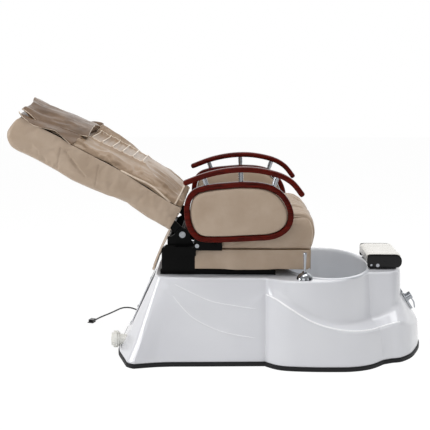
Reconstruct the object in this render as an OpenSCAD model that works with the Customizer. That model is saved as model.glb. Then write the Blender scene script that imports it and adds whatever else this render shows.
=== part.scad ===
// Pedicure spa chair: a moulded foot-bath base with a sliding, reclining massage seat.
// +Z is up, the sitter faces +X, Y = 0 is the mid-plane and the floor is Z = 0.

/* [Base] */
// Rear face of the base at the floor, behind the origin
rear_x = 700; // [640:10:760]
// Nose of the base at the floor, ahead of the origin
nose_x = 693; // [640:10:740]
// Half width of the base at its waist, on the floor
waist_w = 345; // [330:5:360]
// Half width of the base at the foot bath, on the floor
lobe_w = 406; // [395:2:430]
// Height of the deck above the floor
deck_h = 385; // [360:5:420]
// Wall of the moulded base
shell_wall = 5; // [4:1:8]
// Height of the rubber kick strip
kick_h = 20; // [15:1:30]
// Thickness of the rubber kick strip
kick_t = 5; // [3:1:8]
// Square tube of the floor frame
floor_tube = 36; // [30:2:40]

/* [Foot bath] */
// Centre of the foot bath ahead of the origin
bath_x = 245; // [235:5:255]
// Half length of the bath opening
bath_a = 195; // [170:5:200]
// Half width of the bath opening
bath_b = 310; // [300:2:312]
// Depth of the bath below the deck
bath_depth = 250; // [200:10:270]
// Wall of the bath
bath_wall = 4; // [3:1:6]
// Width of the flange that rests on the deck
flange_w = 16; // [10:2:18]
// Bore of the waste fitting
waste_r = 24; // [20:1:30]
// Number of water jets on each side of the bath
jets_per_side = 3; // [1:1:3]
// Radius of a jet barrel
jet_r = 17; // [12:1:20]

/* [Plumbing] */
// Height of the drain pipe axis above the floor
drain_h = 66; // [64:1:80]
// Outer radius of the drain pipe
drain_r = 24; // [20:1:25]
// Wall of the drain pipe
pipe_wall = 3; // [2:0.5:4]
// Sideways place of the drain outlet
drain_y = -180; // [-190:5:-150]
// Outer radius of the union nut
union_nut_r = 38; // [34:1:42]
// Radius of the hand shower dome
dome_r = 36; // [32:1:37]
// Standing height of the hand shower above its dome
shower_h = 92; // [70:2:110]
// Length of the mixer faceplate
faceplate_len = 116; // [90:2:130]
// Width of the mixer faceplate
faceplate_w = 74; // [60:2:90]

/* [Footrest] */
// Length of the footrest pad
footrest_len = 150; // [130:5:160]
// Half width of the footrest pad
footrest_w = 130; // [100:5:140]
// Height of the footrest pad
footrest_h = 62; // [50:2:80]

/* [Seat] */
// Half width of the seat cushion
seat_w = 262; // [240:2:264]
// Front of the seat cushion ahead of the origin
seat_front = 172; // [150:2:180]
// Rear of the seat cushion behind the origin
seat_rear = 245; // [230:5:250]
// Height of the seat cushion's underside
seat_base_h = 500; // [495:1:510]
// Thickness of the seat cushion at its crown
seat_thick = 184; // [150:2:190]
// Number of sewn channels in the seat
seat_channels = 7; // [5:1:9]
// Depth of a sewn channel
channel_depth = 7; // [4:1:10]
// Gap between the skirt's hem and the deck
hem_gap = 30; // [26:1:40]
// Travel of the seat slide
seat_travel = 80; // [50:5:90]
// Sideways place of a slide rail
rail_y = 224; // [215:1:226]
// Height of a slide rail
rail_h = 17; // [14:1:18]

/* [Arms] */
// Sideways place of an armrest's mid-plane
arm_y = 315; // [312:1:330]
// Depth of the wooden ring, across the chair
ring_depth = 40; // [30:1:44]
// Width of the wooden ring's band
ring_band = 25; // [20:1:30]
// Thickness of the hand rail
rail_t = 24; // [20:1:28]
// Radius of a rail post
post_r = 11; // [8:0.5:14]
// Radius of an arm pivot bolt
arm_bolt_r = 5; // [4:0.5:6]

/* [Back] */
// Angle of the reclined back above the floor
recline = 28.3; // [24:0.1:34]
// Height of the recline hinge above the floor
hinge_h = 565; // [560:1:580]
// Recline hinge behind the origin
hinge_x = 400; // [395:1:410]
// Radius of a hinge pin
hinge_pin_r = 8; // [6:0.5:10]
// Half width of the back shell
back_w = 258; // [250:2:264]
// Length of the back from the hinge to the head end
back_len = 875; // [840:5:900]
// Thickness of the back shell
back_t = 135; // [125:1:140]
// Wall of the back shell
back_wall = 8; // [6:1:10]
// Thickness of the back pad at its crown
pad_t = 98; // [80:2:110]
// Number of cross seams in the massage panel
cross_seams = 7; // [5:1:9]
// Radius of a massage roller
roller_r = 22; // [18:1:24]
// Travel of the massage carriage along the back
massage_travel = 380; // [300:10:400]

/* [Power] */
// Radius of the mains lead
cord_r = 3.75; // [3.5:0.25:4]
// Turns in the stowed coil, half of them in each layer
coil_turns = 4; // [4:1:4]

/* [Hidden] */
$fn = 48;
fit = 0.3;
snug = 0.15;
eps = 0.01;
flange_t = 4;
flange_top = deck_h + flange_t;
hem_h = deck_h + hem_gap;

// ---- Curves and lofts ----
function mix(a, b, t) = a + (b - a) * t;
function knot(p0, p1, p2, p3, t) =
  0.5 * (2 * p1 + (p2 - p0) * t + (2 * p0 - 5 * p1 + 4 * p2 - p3) * t * t
  + (3 * p1 - p0 - 3 * p2 + p3) * t * t * t);
// Open smooth curve through points, with steps on each stretch
function curve(p, steps) = [
  for (i = [0 : len(p) - 2]) for (s = [0 : steps - 1])
    knot(p[max(i - 1, 0)], p[i], p[i + 1], p[min(i + 2, len(p) - 1)], s / steps),
  p[len(p) - 1]
];
// Closed smooth curve through points
function loop(p, steps) = [
  for (i = [0 : len(p) - 1]) for (s = [0 : steps - 1])
    knot(p[(i + len(p) - 1) % len(p)], p[i], p[(i + 1) % len(p)], p[(i + 2) % len(p)], s / steps)
];
function unit(v) = v / norm(v);
// Moves each point of a closed outline along its own normal, outwards for a counterclockwise one
function grow(p, d) = [
  for (i = [0 : len(p) - 1])
    let (a = p[(i + len(p) - 1) % len(p)], b = p[(i + 1) % len(p)], t = unit(b - a))
      [p[i].x + t.y * d, p[i].y - t.x * d]
];
function lift(p, z) = [for (q = p) [q.x, q.y, z]];
function ellipse_ring(a, b, steps = 64) = [
  for (i = [0 : steps - 1]) [bath_x + a * cos(i * 360 / steps), b * sin(i * 360 / steps)]
];
// Solid through rings of points; rings run counterclockwise seen from the last one.
// Each end is closed by a strip between point j of its ring and point last - j.
module loft(rings, last = undef) {
  n = len(rings[0]);
  m = len(rings);
  twin = is_undef(last) ? n - 1 : last;
  sides = [
    for (k = [0 : m - 2]) for (j = [0 : n - 1])
      let (a = k * n + j, b = k * n + (j + 1) % n, c = b + n, d = a + n) each [[a, d, c], [a, c, b]]
  ];
  strip = [
    for (j = [0 : floor((twin - 2) / 2)])
      let (a = j, b = j + 1, c = (twin - j - 1) % n, d = (twin - j) % n)
        each [if (b != c) [a, b, c], if (a != d && c != d) [a, c, d]]
  ];
  far = (m - 1) * n;
  caps = [for (t = strip) each [t, [far + t[2], far + t[1], far + t[0]]]];
  polyhedron(points = [for (r = rings) each r], faces = concat(sides, caps), convexity = 6);
}
// Round tube swept along points that are already close together
function dir(p, i) = unit(p[min(i + 1, len(p) - 1)] - p[max(i - 1, 0)]);
function side_of(t) = abs(t.z) > 0.9 ? unit(cross(t, [1, 0, 0])) : unit(cross(t, [0, 0, 1]));
module swept_tube(p, r, sides) {
  rings = [
    for (i = [0 : len(p) - 1])
      let (t = dir(p, i), u = side_of(t), v = cross(t, u))
        [for (k = [0 : sides - 1]) p[i] + r * (cos(k * 360 / sides) * u + sin(k * 360 / sides) * v)]
  ];
  loft(rings);
}
// Tube with a bore, swept along points that are already close together
module hollow_tube(p, r, wall, sides) {
  function rings(radius) = [
    for (i = [0 : len(p) - 1])
      let (t = dir(p, i), u = side_of(t), v = cross(t, u))
        [for (k = [0 : sides - 1]) p[i] + radius * (cos(k * 360 / sides) * u + sin(k * 360 / sides) * v)]
  ];
  out = rings(r);
  in = rings(r - wall);
  all = [each out, for (i = [len(p) - 1 : -1 : 0]) in[i]];
  m = len(all);
  polyhedron(
    points = [for (q = all) each q],
    faces = [
      for (k = [0 : m - 1]) for (j = [0 : sides - 1])
        let (a = k * sides + j, b = k * sides + (j + 1) % sides, far = (k + 1) % m * sides)
          each [[a, far + j, far + (j + 1) % sides], [a, far + (j + 1) % sides, b]]
    ], convexity = 8);
}
// Pipe of straight runs with round elbows
module pipe_run(p, r) {
  for (i = [0 : len(p) - 2]) rod(p[i], p[i + 1], r);
  for (i = [1 : 1 : len(p) - 2]) translate(p[i]) sphere(r = r);
}
// Straight round bar between two points
module rod(a, b, r) {
  d = b - a;
  translate(a)
    rotate([0, acos(d.z / norm(d)), atan2(d.y, d.x)])
      cylinder(h = norm(d), r = r);
}
// Box given by its two corners
module block(lo, hi) {
  translate(lo) cube(hi - lo);
}
// Runs its children for both sides of the chair
module both_sides() {
  children();
  mirror([0, 1, 0]) children();
}
// Flat outline in X and Z, given thickness along Y from y0 to y1
module slab(p, y0, y1) {
  translate([0, y1, 0]) rotate([90, 0, 0]) linear_extrude(y1 - y0) polygon(p);
}
// Moves children into the back's own frame: X runs up the back, Z out of its face
module on_back() {
  translate([-hinge_x, 0, hinge_h]) rotate([0, recline, 0]) rotate([0, 0, 180]) children();
}

// ---- Base outline ----
// Each station of one side holds the deck point, the floor point, how far out its two
// shoulders lie between them, and how far below the deck these are
rear_slope = 172;
lean_mid = 1 - 120 / deck_h;
lean_top = 1 - 170 / deck_h;
low_mid = deck_h - 120;
low_top = deck_h - 170;
waist_x = -37;
deck_rear = rear_slope - rear_x;
stations = [
  [[deck_rear, 0], [-rear_x, 0], lean_top, lean_mid, low_top, low_mid],
  [[deck_rear + 4, -240], [4 - rear_x, -196], lean_top, lean_mid, low_top, low_mid],
  [[deck_rear + 23, -285], [72 - rear_x, -waist_w - 47], lean_top, lean_mid, low_top, low_mid],
  [[deck_rear + 88, -298], [211 - rear_x, -waist_w - 12], lean_top, lean_mid, low_top, low_mid],
  [[-250, -302], [-250, -waist_w - 3], lean_top, lean_mid, low_top, low_mid],
  [[waist_x, -305], [waist_x, -waist_w + 6], 0.10, 0.30, 40, 70],
  [[0, -325], [10, -lobe_w + 26], 0.15, 0.55, 45, 80],
  [[60, -352], [60, -lobe_w + 8], 0.2, 0.75, 85, 110],
  [[155, -364], [154, -lobe_w], 0.2, 0.8, 145, 166],
  [[241, -352], [250, -lobe_w], 0.2, 0.8, 180, 199],
  [[322, -308], [338, -lobe_w + 7], 0.2, 0.8, 197, 215],
  [[390, -240], [418, -lobe_w + 40], 0.2, 0.8, 205, 223],
  [[425, -190], [482, -lobe_w + 101], 0.2, 0.78, 207, 227],
  [[470, -185], [520, -285], 0.2, 0.8, 195, 219],
  [[540, -165], [575, -262], 0.2, 0.84, 160, 212],
  [[578, -110], [nose_x - 53, -175], 0.08, 0.9, 125, 245],
  [[590, 0], [nose_x, 0], 0.03, 0.93, 115, 260]
];
crease_low = 5;
crease_front = 12;
base_steps = 4;
// Point k of a station: 0 deck, 1 upper shoulder, 2 lower shoulder, 3 top of the skirt, 4 floor
function station_point(s, k) =
  let (top = s[0], low = s[1])
    k == 0 ? [top.x, top.y, deck_h]
    : k == 1 ? [each mix(top, low, s[2]), deck_h - s[4]]
    : k == 2 ? [each mix(top, low, s[3]), deck_h - s[5]]
    : [low.x, low.y, k == 3 ? kick_h + 4 : 0];
// A crease or a straight stretch ends the smooth curve there
function is_corner(i) = i <= crease_low || i == crease_front;
function half_line(k) = [
  for (i = [0 : len(stations) - 2]) for (s = [0 : base_steps - 1])
    let (
      last = len(stations) - 1,
      p1 = station_point(stations[i], k),
      p2 = station_point(stations[i + 1], k),
      p0 = is_corner(i) ? p1 : station_point(stations[max(i - 1, 0)], k),
      after = station_point(stations[min(i + 2, last)], k),
      nose = station_point(stations[last - 1], k),
      p3 = is_corner(i + 1) ? p2 : i + 1 == last ? [nose.x, -nose.y, nose.z] : after
    ) i < crease_low ? mix(p1, p2, s / base_steps) : knot(p0, p1, p2, p3, s / base_steps)
];
function full_line(k) =
  let (h = half_line(k), n = len(h), nose = station_point(stations[len(stations) - 1], k))
    [each h, nose, for (i = [n - 1 : -1 : 1]) [h[i].x, -h[i].y, h[i].z]];
function flat(p) = [for (q = p) [q.x, q.y]];
// One ring of the base, drawn in by d and lowered by dz
function base_ring(k, d, dz) =
  let (p = full_line(k), g = grow(flat(p), -d))
    [for (i = [0 : len(p) - 1]) [g[i].x, g[i].y, p[i].z - dz]];
edge_round = 9;
function base_form(d, dz) = [
  base_ring(4, d, 0), base_ring(3, d, 0), base_ring(2, d, dz * 0.4),
  base_ring(1, d, dz * 0.7), base_ring(0, d, dz + edge_round),
  base_ring(0, d + edge_round * 0.3, dz + edge_round * 0.3), base_ring(0, d + edge_round, dz)
];

// Slope of the rear face and of the nose
rear_angle = atan2(rear_slope, deck_h);
nose_hi = station_point(stations[len(stations) - 1], 1);
nose_lo = station_point(stations[len(stations) - 1], 2);
nose_angle = atan2(nose_lo.x - nose_hi.x, nose_hi.z - nose_lo.z);
// Puts children on the nose slope, its outward direction along Z
module on_nose(drop) {
  p = mix(nose_hi, nose_lo, drop);
  translate(p) rotate([0, 90 - nose_angle, 0]) children();
}
mixer_drop = 0.36;
module on_rear(y, up) {
  translate([up * rear_slope / deck_h - rear_x, y, up]) rotate([0, rear_angle - 90, 0]) children();
}

gland_x = -560;
gland_h = 60;
gland_r = 9;
dome_x = 131;
dome_y = -bath_b - 4;
valve_r = 20;
shower_tail_r = 12;
panel_w = 300;
panel_h = 250;
panel_mid = 236;

module base_shell() {
  color("gainsboro")
    difference() {
      loft([
        each [for (i = [6 : -1 : 0]) base_form(shell_wall, shell_wall)[i]], each base_form(0, 0)
      ], len(full_line(0)));
      translate([0, 0, deck_h - shell_wall - 2])
        linear_extrude(shell_wall + 4) polygon(ellipse_ring(bath_a + bath_wall + 1, bath_b + bath_wall + 1));
      block([-420, -90, deck_h - shell_wall - 4], [-80, 90, deck_h + 4]);
      on_rear(0, panel_mid) cube([panel_h - 40, panel_w - 40, 40], center = true);
      translate([-rear_x - 40, drain_y, drain_h]) rotate([0, 90, 0]) cylinder(h = 140, r = drain_r + fit);
      translate([gland_x, waist_w - 60, gland_h]) rotate([-90, 0, 0]) cylinder(h = 120, r = gland_r + fit);
      on_nose(mixer_drop) translate([0, 0, -40]) cylinder(h = 80, r = valve_r + fit);
      translate([dome_x, dome_y, deck_h - 30]) cylinder(h = 60, r = shower_tail_r + fit);
    }
}

// ---- Foot bath ----
bath_floor = deck_h - bath_depth;
function bath_ring(d, level) =
  let (
    z = [bath_floor - d, bath_floor + 12 - d, bath_floor + 0.45 * bath_depth, flange_top],
    in_a = [62, 44, 20, 0],
    in_b = [96, 70, 26, 0]
  ) lift(ellipse_ring(bath_a - in_a[level] + d, bath_b - in_b[level] + d), z[level]);
jet_h = bath_floor + 0.36 * bath_depth;
jet_step = 32;
jet_back = 20;
jet_pipe_r = 10;
// Angle of a jet round the bath, and the bath's outer wall and its outward direction there
function jet_angle(i) = -90 + (i - (jets_per_side - 1) / 2) * jet_step;
function wall_at(a) = [bath_x + (bath_a - 24) * cos(a), (bath_b - 32) * sin(a), jet_h];
function wall_out(a) = unit([cos(a) / (bath_a - 24), sin(a) / (bath_b - 32), 0]);

module jet_places() {
  both_sides()
    for (i = [0 : jets_per_side - 1])
      let (a = jet_angle(i), t = wall_out(a))
        translate(wall_at(a)) rotate([0, 90, atan2(t.y, t.x)]) children();
}
module foot_basin() {
  color("whitesmoke")
    difference() {
      union() {
        loft([for (i = [0 : 3]) bath_ring(bath_wall, i)]);
        translate([0, 0, deck_h])
          linear_extrude(flange_t) polygon(ellipse_ring(bath_a + flange_w, bath_b + flange_w));
      }
      loft([bath_ring(0, 0), bath_ring(0, 1), bath_ring(0, 2), lift(ellipse_ring(bath_a, bath_b), flange_top + 1)]);
      translate([bath_x, 0, bath_floor - 20]) cylinder(h = 40, r = waste_r + fit);
      jet_places() translate([0, 0, -40]) cylinder(h = 80, r = jet_r + fit);
      translate([dome_x, dome_y, deck_h - 1]) cylinder(h = 10, r = dome_r + 1);
    }
}
module jet_nozzles() {
  color("silver")
    jet_places()
      difference() {
        union() {
          translate([0, 0, -16]) cylinder(h = 16 + jet_back, r = jet_r);
          translate([0, 0, -19]) cylinder(h = 4, r = jet_r + 3);
        }
        translate([0, 0, -20]) cylinder(h = 23 + jet_back, r = jet_r - 6);
      }
}
pipe_gap = 1;
function pipe_place(a) = wall_at(a) + (jet_back + jet_pipe_r + pipe_gap) * wall_out(a);
module jet_pipes() {
  run = [
    for (a = [jet_angle(jets_per_side - 1) + 8 : -5 : jet_angle(0) - 1]) pipe_place(a),
    [60, -235, jet_h], [-5, -165, jet_h], [-30, -135, jet_h], [-40, -110, jet_h], [-40, -62, jet_h]
  ];
  color("white") {
    swept_tube(run, jet_pipe_r, 12);
    swept_tube([for (q = run) [q.x, -q.y, q.z]], jet_pipe_r, 12);
  }
}
pump_x = -110;
module circulation_pump() {
  color("dimgray") {
    translate([pump_x, 0, jet_h]) rotate([90, 0, 0]) cylinder(h = 100, r = 58, center = true);
    translate([pump_x + 40, -62, jet_h - 16]) cube([50, 124, 32]);
    block([-225, 8, floor_tube], [-10, 70, floor_tube + 6]);
    block([pump_x - 50, 8, floor_tube + 5], [pump_x + 50, 70, jet_h - 30]);
    translate([pump_x, 0, jet_h]) rotate([-90, 0, 0]) cylinder(h = 150, r = 44);
  }
}

// ---- Waste ----
strainer_t = 3;
strainer_tail = 12;
module drain_strainer() {
  color("silver")
    difference() {
      union() {
        translate([bath_x, 0, bath_floor]) cylinder(h = strainer_t, r = waste_r + 12);
        translate([bath_x, 0, bath_floor - strainer_tail]) cylinder(h = strainer_tail, r = waste_r);
      }
      translate([bath_x, 0, drain_h]) cylinder(h = bath_depth, r = waste_r - 3);
    }
}
module drain_plug() {
  color("silver") {
    translate([bath_x, 0, bath_floor + strainer_t + 0.2]) cylinder(h = 5, r = waste_r + 4);
    translate([bath_x, 0, bath_floor - 20]) cylinder(h = 24, r = 5);
    for (a = [0, 120, 240])
      translate([bath_x, 0, bath_floor - 20])
        rotate([0, 0, a]) translate([0, -1.5, 0]) cube([waste_r - 4 - fit, 3, 12]);
  }
}
union_end = -rear_x - 28;
union_len = 35;
rear_at_drain = drain_h * rear_slope / deck_h - rear_x;
// Points of the drain pipe: down from the bath, one bend, then rearwards with two easy bends
elbow_r = 30;
drain_route = [
  [bath_x, 0, bath_floor - strainer_tail],
  for (a = [0 : 22.5 : 90])
    [bath_x - elbow_r + elbow_r * cos(a), 0, drain_h + elbow_r - elbow_r * sin(a)],
  [60, 0, drain_h], [40, drain_y * 0.02, drain_h],
  [-478, drain_y * 0.93, drain_h], [-522, drain_y, drain_h], [union_end + union_len, drain_y, drain_h]
];
module drain_pipe() {
  color("white") hollow_tube(drain_route, drain_r, pipe_wall, 16);
}
module drain_union() {
  color("white")
    translate([union_end, drain_y, drain_h]) rotate([0, 90, 0])
      difference() {
        union() {
          cylinder(h = union_len, r = union_nut_r - 8);
          translate([0, 0, 28]) cylinder(h = 6, r = union_nut_r - 5);
        }
        translate([0, 0, -1]) cylinder(h = union_len + 2, r = drain_r - pipe_wall);
      }
}
module union_nut() {
  color("whitesmoke")
    translate([union_end + 9, drain_y, drain_h]) rotate([0, 90, 0])
      difference() {
        union() {
          cylinder(h = 18, r = union_nut_r - 2);
          for (a = [0 : 30 : 330])
            rotate([0, 0, a]) translate([union_nut_r - 6, -4, 0]) cube([6, 8, 18]);
        }
        translate([0, 0, -1]) cylinder(h = 20, r = union_nut_r - 8 + fit);
      }
}

// ---- Floor frame, kick strip and rear panel ----
sill_y = 200;
sill_front = 520;
sill_rear = 600;
cross_x = [-sill_rear, -250, 0, sill_front - floor_tube];
post_x = [-460, -60];
module floor_frame() {
  color("dimgray") {
    both_sides() block([-sill_rear, -sill_y - floor_tube, 0], [sill_front, -sill_y, floor_tube]);
    for (x = cross_x)
      block([x == 0 ? -floor_tube / 2 : x, -sill_y - 1, 0], [(x == 0 ? -floor_tube / 2 : x) + floor_tube, sill_y + 1, floor_tube]);
    both_sides()
      for (x = post_x)
        block([x, -sill_y - floor_tube, floor_tube - 1], [x + floor_tube, -sill_y, deck_h - shell_wall]);
  }
}
module kick_strip() {
  color("black")
    linear_extrude(kick_h)
      difference() {
        polygon(grow(flat(full_line(4)), kick_t));
        polygon(flat(full_line(4)));
      }
}
module service_panel() {
  color("white")
    difference() {
      on_rear(0, panel_mid) translate([-panel_h / 2, -panel_w / 2, 0]) cube([panel_h, panel_w, 4]);
      panel_corners() cylinder(h = 20, r = 3, center = true);
    }
}
module panel_corners() {
  for (x = [-1, 1]) for (y = [-1, 1])
    on_rear(y * (panel_w / 2 - 10), panel_mid)
      translate([x * (panel_h / 2 - 10), 0, 0]) children();
}
module panel_screws() {
  color("silver")
    panel_corners() {
      translate([0, 0, 4]) cylinder(h = 2.5, r = 6);
      translate([0, 0, fit]) cylinder(h = 4, r = 3 - snug);
    }
}
module control_box() {
  color("dimgray")
    difference() {
      block([-380, 60, floor_tube], [-240, 210, 150]);
      block([-376, 64, floor_tube + 4], [-244, 206, 151]);
    }
  color("dimgray") block([-380, 60, 150], [-240, 210, 154]);
}

// ---- Mixer, hand shower and inlets ----
module mixer_body() {
  color("silver")
    on_nose(mixer_drop) {
      translate([0, 0, fit]) linear_extrude(7) rounded(faceplate_len, faceplate_w, 30);
      translate([0, 0, -46]) cylinder(h = 60, r = valve_r);
    }
}
// Rectangle with round corners, as exact arcs
module rounded(a, b, r) {
  square([a - 2 * r, b], center = true);
  square([a, b - 2 * r], center = true);
  for (x = [-1, 1]) for (y = [-1, 1])
    translate([x * (a / 2 - r), y * (b / 2 - r)]) circle(r = r);
}
module mixer_cap() {
  color("silver")
    on_nose(mixer_drop)
      difference() {
        translate([0, 0, 14 + fit]) cylinder(h = 20, r = valve_r - 3);
        translate([0, 0, 20]) block([-40, -4, 0], [40, 4, 40]);
      }
}
lever_len = 64;
lever_axis = 27;
module mixer_lever() {
  color("silver")
    on_nose(mixer_drop)
      translate([0, 0, lever_axis]) {
        rotate([90, 0, 0]) cylinder(h = 7, r = 6, center = true);
        slab([
          [0, -3], [0.58 * lever_len, -3], [lever_len - 1.5, -12.5], [lever_len, -8], [0.6 * lever_len, 3], [0, 3]
        ], fit - 4, 4 - fit);
      }
}
module shower_dome() {
  color("silver")
    translate([dome_x, dome_y, deck_h])
      difference() {
        rotate_extrude()
          difference() {
            union() {
              translate([0, -6]) intersection() {
                circle(r = dome_r);
                translate([0, 6]) square([dome_r + 1, dome_r]);
              }
              translate([0, -24]) square([shower_tail_r, 30]);
            }
            translate([-dome_r, -100]) square([dome_r, 200]);
          }
        translate([0, 0, -30]) cylinder(h = 90, r = shower_tail_r - 3 + fit);
      }
}
module hand_shower() {
  stem = shower_tail_r - 3;
  top = dome_r - 4;
  color("silver")
    translate([dome_x, dome_y, deck_h])
      rotate_extrude()
        polygon([
          [0, -20], [stem - snug, -20], [stem - snug, top - 3.4], [stem + 3, top],
          [stem - 4, top + 4], [stem - 3, top + shower_h * 0.5], [stem - 1, top + shower_h * 0.85],
          [stem - 3, top + shower_h * 0.92], [0, top + shower_h * 0.95]
        ]);
}
module water_hoses() {
  end = mix(nose_hi, nose_lo, mixer_drop) - 46.5 * [cos(nose_angle), 0, sin(nose_angle)];
  color("lightsteelblue")
    swept_tube(curve([
      [dome_x, dome_y, deck_h - 25], [dome_x + 9, dome_y - 6, deck_h - 135], [bath_x, dome_y - 21, deck_h - 195],
      [380, -230, deck_h - 205], [480, -90, deck_h - 188], end - [32, 10, 18], end
    ], 3), 7, 8);
}

// ---- Footrest ----
foot_x = 432;
foot_base = flange_top + 4;
foot_pin = [foot_x + 14, foot_base + 12];
side_screw = [foot_x + 42, foot_base + 12];
foot_pin_r = 5;
lug_y = 90;
module footrest_bracket() {
  color("dimgray")
    difference() {
      union() {
        block([foot_x + 30, -lug_y - 8, deck_h], [foot_x + footrest_len - 20, lug_y + 8, deck_h + 3]);
        both_sides() {
          translate([foot_pin.x, -lug_y, foot_pin.y]) rotate([90, 0, 0]) cylinder(h = 8, r = 10);
          block([foot_pin.x - 8, -lug_y - 8, deck_h], [foot_x + 40, -lug_y, foot_pin.y]);
        }
      }
      translate([foot_pin.x, 0, foot_pin.y]) rotate([90, 0, 0]) cylinder(h = 400, r = foot_pin_r + snug, center = true);
      translate([bath_x, 0, deck_h - 1]) linear_extrude(flange_t + 1 + fit)
        polygon([for (q = ellipse_ring(bath_a + flange_w + fit, bath_b + flange_w + fit)) [q.x - bath_x, q.y]]);
    }
}
module footrest_pin() {
  color("silver") {
    translate([foot_pin.x, 0, foot_pin.y]) rotate([90, 0, 0])
      cylinder(h = 2 * footrest_w - 4, r = foot_pin_r, center = true);
    both_sides()
      translate([side_screw.x, 12 - footrest_w, side_screw.y]) rotate([90, 0, 0]) {
        cylinder(h = 13, r = 4);
        translate([0, 0, 12 + fit]) cylinder(h = 3, r = 8);
      }
  }
}
cushion_t = 16;
function foot_outline(top) = [
  [foot_x + 6, foot_base + 4], [foot_x + 12, foot_base], [foot_x + footrest_len - 22, foot_base],
  [foot_x + footrest_len - 6, foot_base + 7], [foot_x + footrest_len, foot_base + 20],
  [foot_x + footrest_len + 1, top - 14], [foot_x + footrest_len - 3, top], [foot_x - 4, top],
  [foot_x - 4, foot_base + 22]
];
module footrest_shell() {
  top = foot_base + footrest_h - cushion_t;
  color("black")
    difference() {
      slab(foot_outline(top), -footrest_w, footrest_w);
      both_sides()
        translate([foot_pin.x, -lug_y + 1, foot_pin.y]) rotate([90, 0, 0]) cylinder(h = 10, r = 13);
      both_sides() block([foot_x - 10, -lug_y - 9, deck_h], [foot_x + 45, -lug_y + 1, foot_pin.y + 13]);
      both_sides()
        translate([side_screw.x, 14 - footrest_w, side_screw.y]) rotate([90, 0, 0]) cylinder(h = 20, r = 4 + snug);
      translate([foot_pin.x, 0, foot_pin.y]) rotate([90, 0, 0]) cylinder(h = 400, r = foot_pin_r + snug, center = true);
    }
}
module footrest_cushion() {
  top = foot_base + footrest_h;
  low = top - cushion_t;
  color("white")
    loft([
      for (s = [[-1, 4, 10], [-0.94, 1, 3], [-0.5, 0, 0], [0, 0, -1], [0.5, 0, 0], [0.94, 1, 3], [1, 4, 10]])
        [for (q = [
          [foot_x - 3 + s[1], low + fit], [foot_x - 4 + s[1], low + 5], [foot_x + 6 + s[1], top - 3 - s[2] / 3],
          [foot_x + 24, top - s[2] / 2], [foot_x + footrest_len - 24, top - s[2] / 2],
          [foot_x + footrest_len - 8 - s[1], top - 5 - s[2] / 3], [foot_x + footrest_len - 4 - s[1], low + fit]
        ]) [q.x, s[0] * footrest_w, q.y]]
    ]);
}

// ---- Slide and seat frame ----
rail_rear = -500;
rail_front = 9;
runner_w = 38;
frame_top = seat_base_h - 16;
// Height at a share of the space between the deck and the seat board
function under_seat(share) = mix(deck_h, frame_top, share);
module slide_rails() {
  color("black")
    both_sides() block([rail_rear, -rail_y - 15, deck_h], [rail_front, -rail_y + 15, deck_h + rail_h]);
}
hinge_out = 249;
hinge_in = 241;
plate_w = 262;
box_rear = -491;
box_front = -345;
box_top = seat_base_h + 19;
bar_t = 24;
bar_at = [-458, hinge_h - 17];
bar_r = 5;
lever_r = hinge_h - seat_base_h + 10;
drive_pivot = [-120, under_seat(0.51515)];
drive_pin_r = 5;
lever_end = [-hinge_x, hinge_h - lever_r];
drive_run = lever_end - drive_pivot;
drive_len = norm(drive_run);
drive_angle = atan2(drive_run.y, -drive_run.x);
module seat_frame() {
  color("black")
    difference() {
      union() {
        both_sides() {
          block([box_front - 4, -rail_y - runner_w / 2, deck_h + 4], [0, -rail_y + runner_w / 2, deck_h + rail_h + 9]);
          block([box_front - 4, -rail_y - 4, deck_h + rail_h + 8], [0, -rail_y + 4, frame_top - 8]);
          block([box_front - 4, -rail_y - runner_w / 2, frame_top - 12], [0, -rail_y + runner_w / 2, frame_top]);
          slab([
            [box_rear, deck_h + 21], [box_front, deck_h + 21], [box_front, box_top],
            [box_rear + 18, box_top], [box_rear, box_top - 14]
          ], -plate_w, -hinge_in);
          slab([
            [bar_at.x - 8, box_top - 6], [box_front, box_top - 6], [-hinge_x + 34, hinge_h - 16],
            [-hinge_x + 30, hinge_h + 8], [-hinge_x + 12, hinge_h + 28],
            [-hinge_x - 14, hinge_h + 27], [-hinge_x - 31, hinge_h + 4],
            [bar_at.x + 8, bar_at.y + 9], [bar_at.x - 8, bar_at.y + 8]
          ], -hinge_out, -hinge_in);
          block([box_front - 60, -hinge_in - 1, under_seat(0.39)], [box_front - 2, -rail_y + runner_w / 2, under_seat(0.7)]);
        }
        translate([bar_at.x, 0, bar_at.y]) rotate([90, 0, 0]) cylinder(h = 2 * hinge_in + 4, r = bar_r, center = true);
        for (x = [box_front, 70])
          block([x, -rail_y, under_seat(0.49)], [x + 30, rail_y, under_seat(0.49) + bar_t]);
        block([-100, -rail_y, under_seat(0.37)], [-70, rail_y, under_seat(0.37) + bar_t + 4]);
        both_sides() block([-110, -18, drive_pivot.y - 10], [-98, -11, drive_pivot.y + 10]);
        both_sides() block([-1, -rail_y - 15, under_seat(0.62)], [seat_front - 60, -rail_y + 15, frame_top]);
        both_sides()
          translate([drive_pivot.x, -11, drive_pivot.y]) rotate([90, 0, 0]) cylinder(h = 7, r = 12);
        both_sides() block([drive_pivot.x, -18, drive_pivot.y - 10], [-98, -11, drive_pivot.y + 10]);
        translate([drive_pivot.x, 0, drive_pivot.y]) rotate([90, 0, 0]) cylinder(h = 30, r = drive_pin_r, center = true);
      }
      both_sides()
        block([rail_rear, -rail_y - 15 - fit, deck_h], [rail_front, -rail_y + 15 + fit, deck_h + rail_h + fit]);
      translate([-hinge_x, 0, hinge_h]) rotate([90, 0, 0]) cylinder(h = 700, r = hinge_pin_r + snug, center = true);
      both_sides()
        translate([-hinge_x, -hinge_out - fit / 2, hinge_h]) rotate([90, 0, 0]) cylinder(h = 20, r = hinge_pin_r + 7);
      block([actuator_rear - 180, actuator_y - 22, deck_h], [tube_front + 90, actuator_y + 22, actuator_h + 22]);
      translate([rod_rear, actuator_y, actuator_h]) rotate([0, 90, 0]) cylinder(h = rod_front - rod_rear + fit, r = 7 + fit);
    }
}
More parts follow.
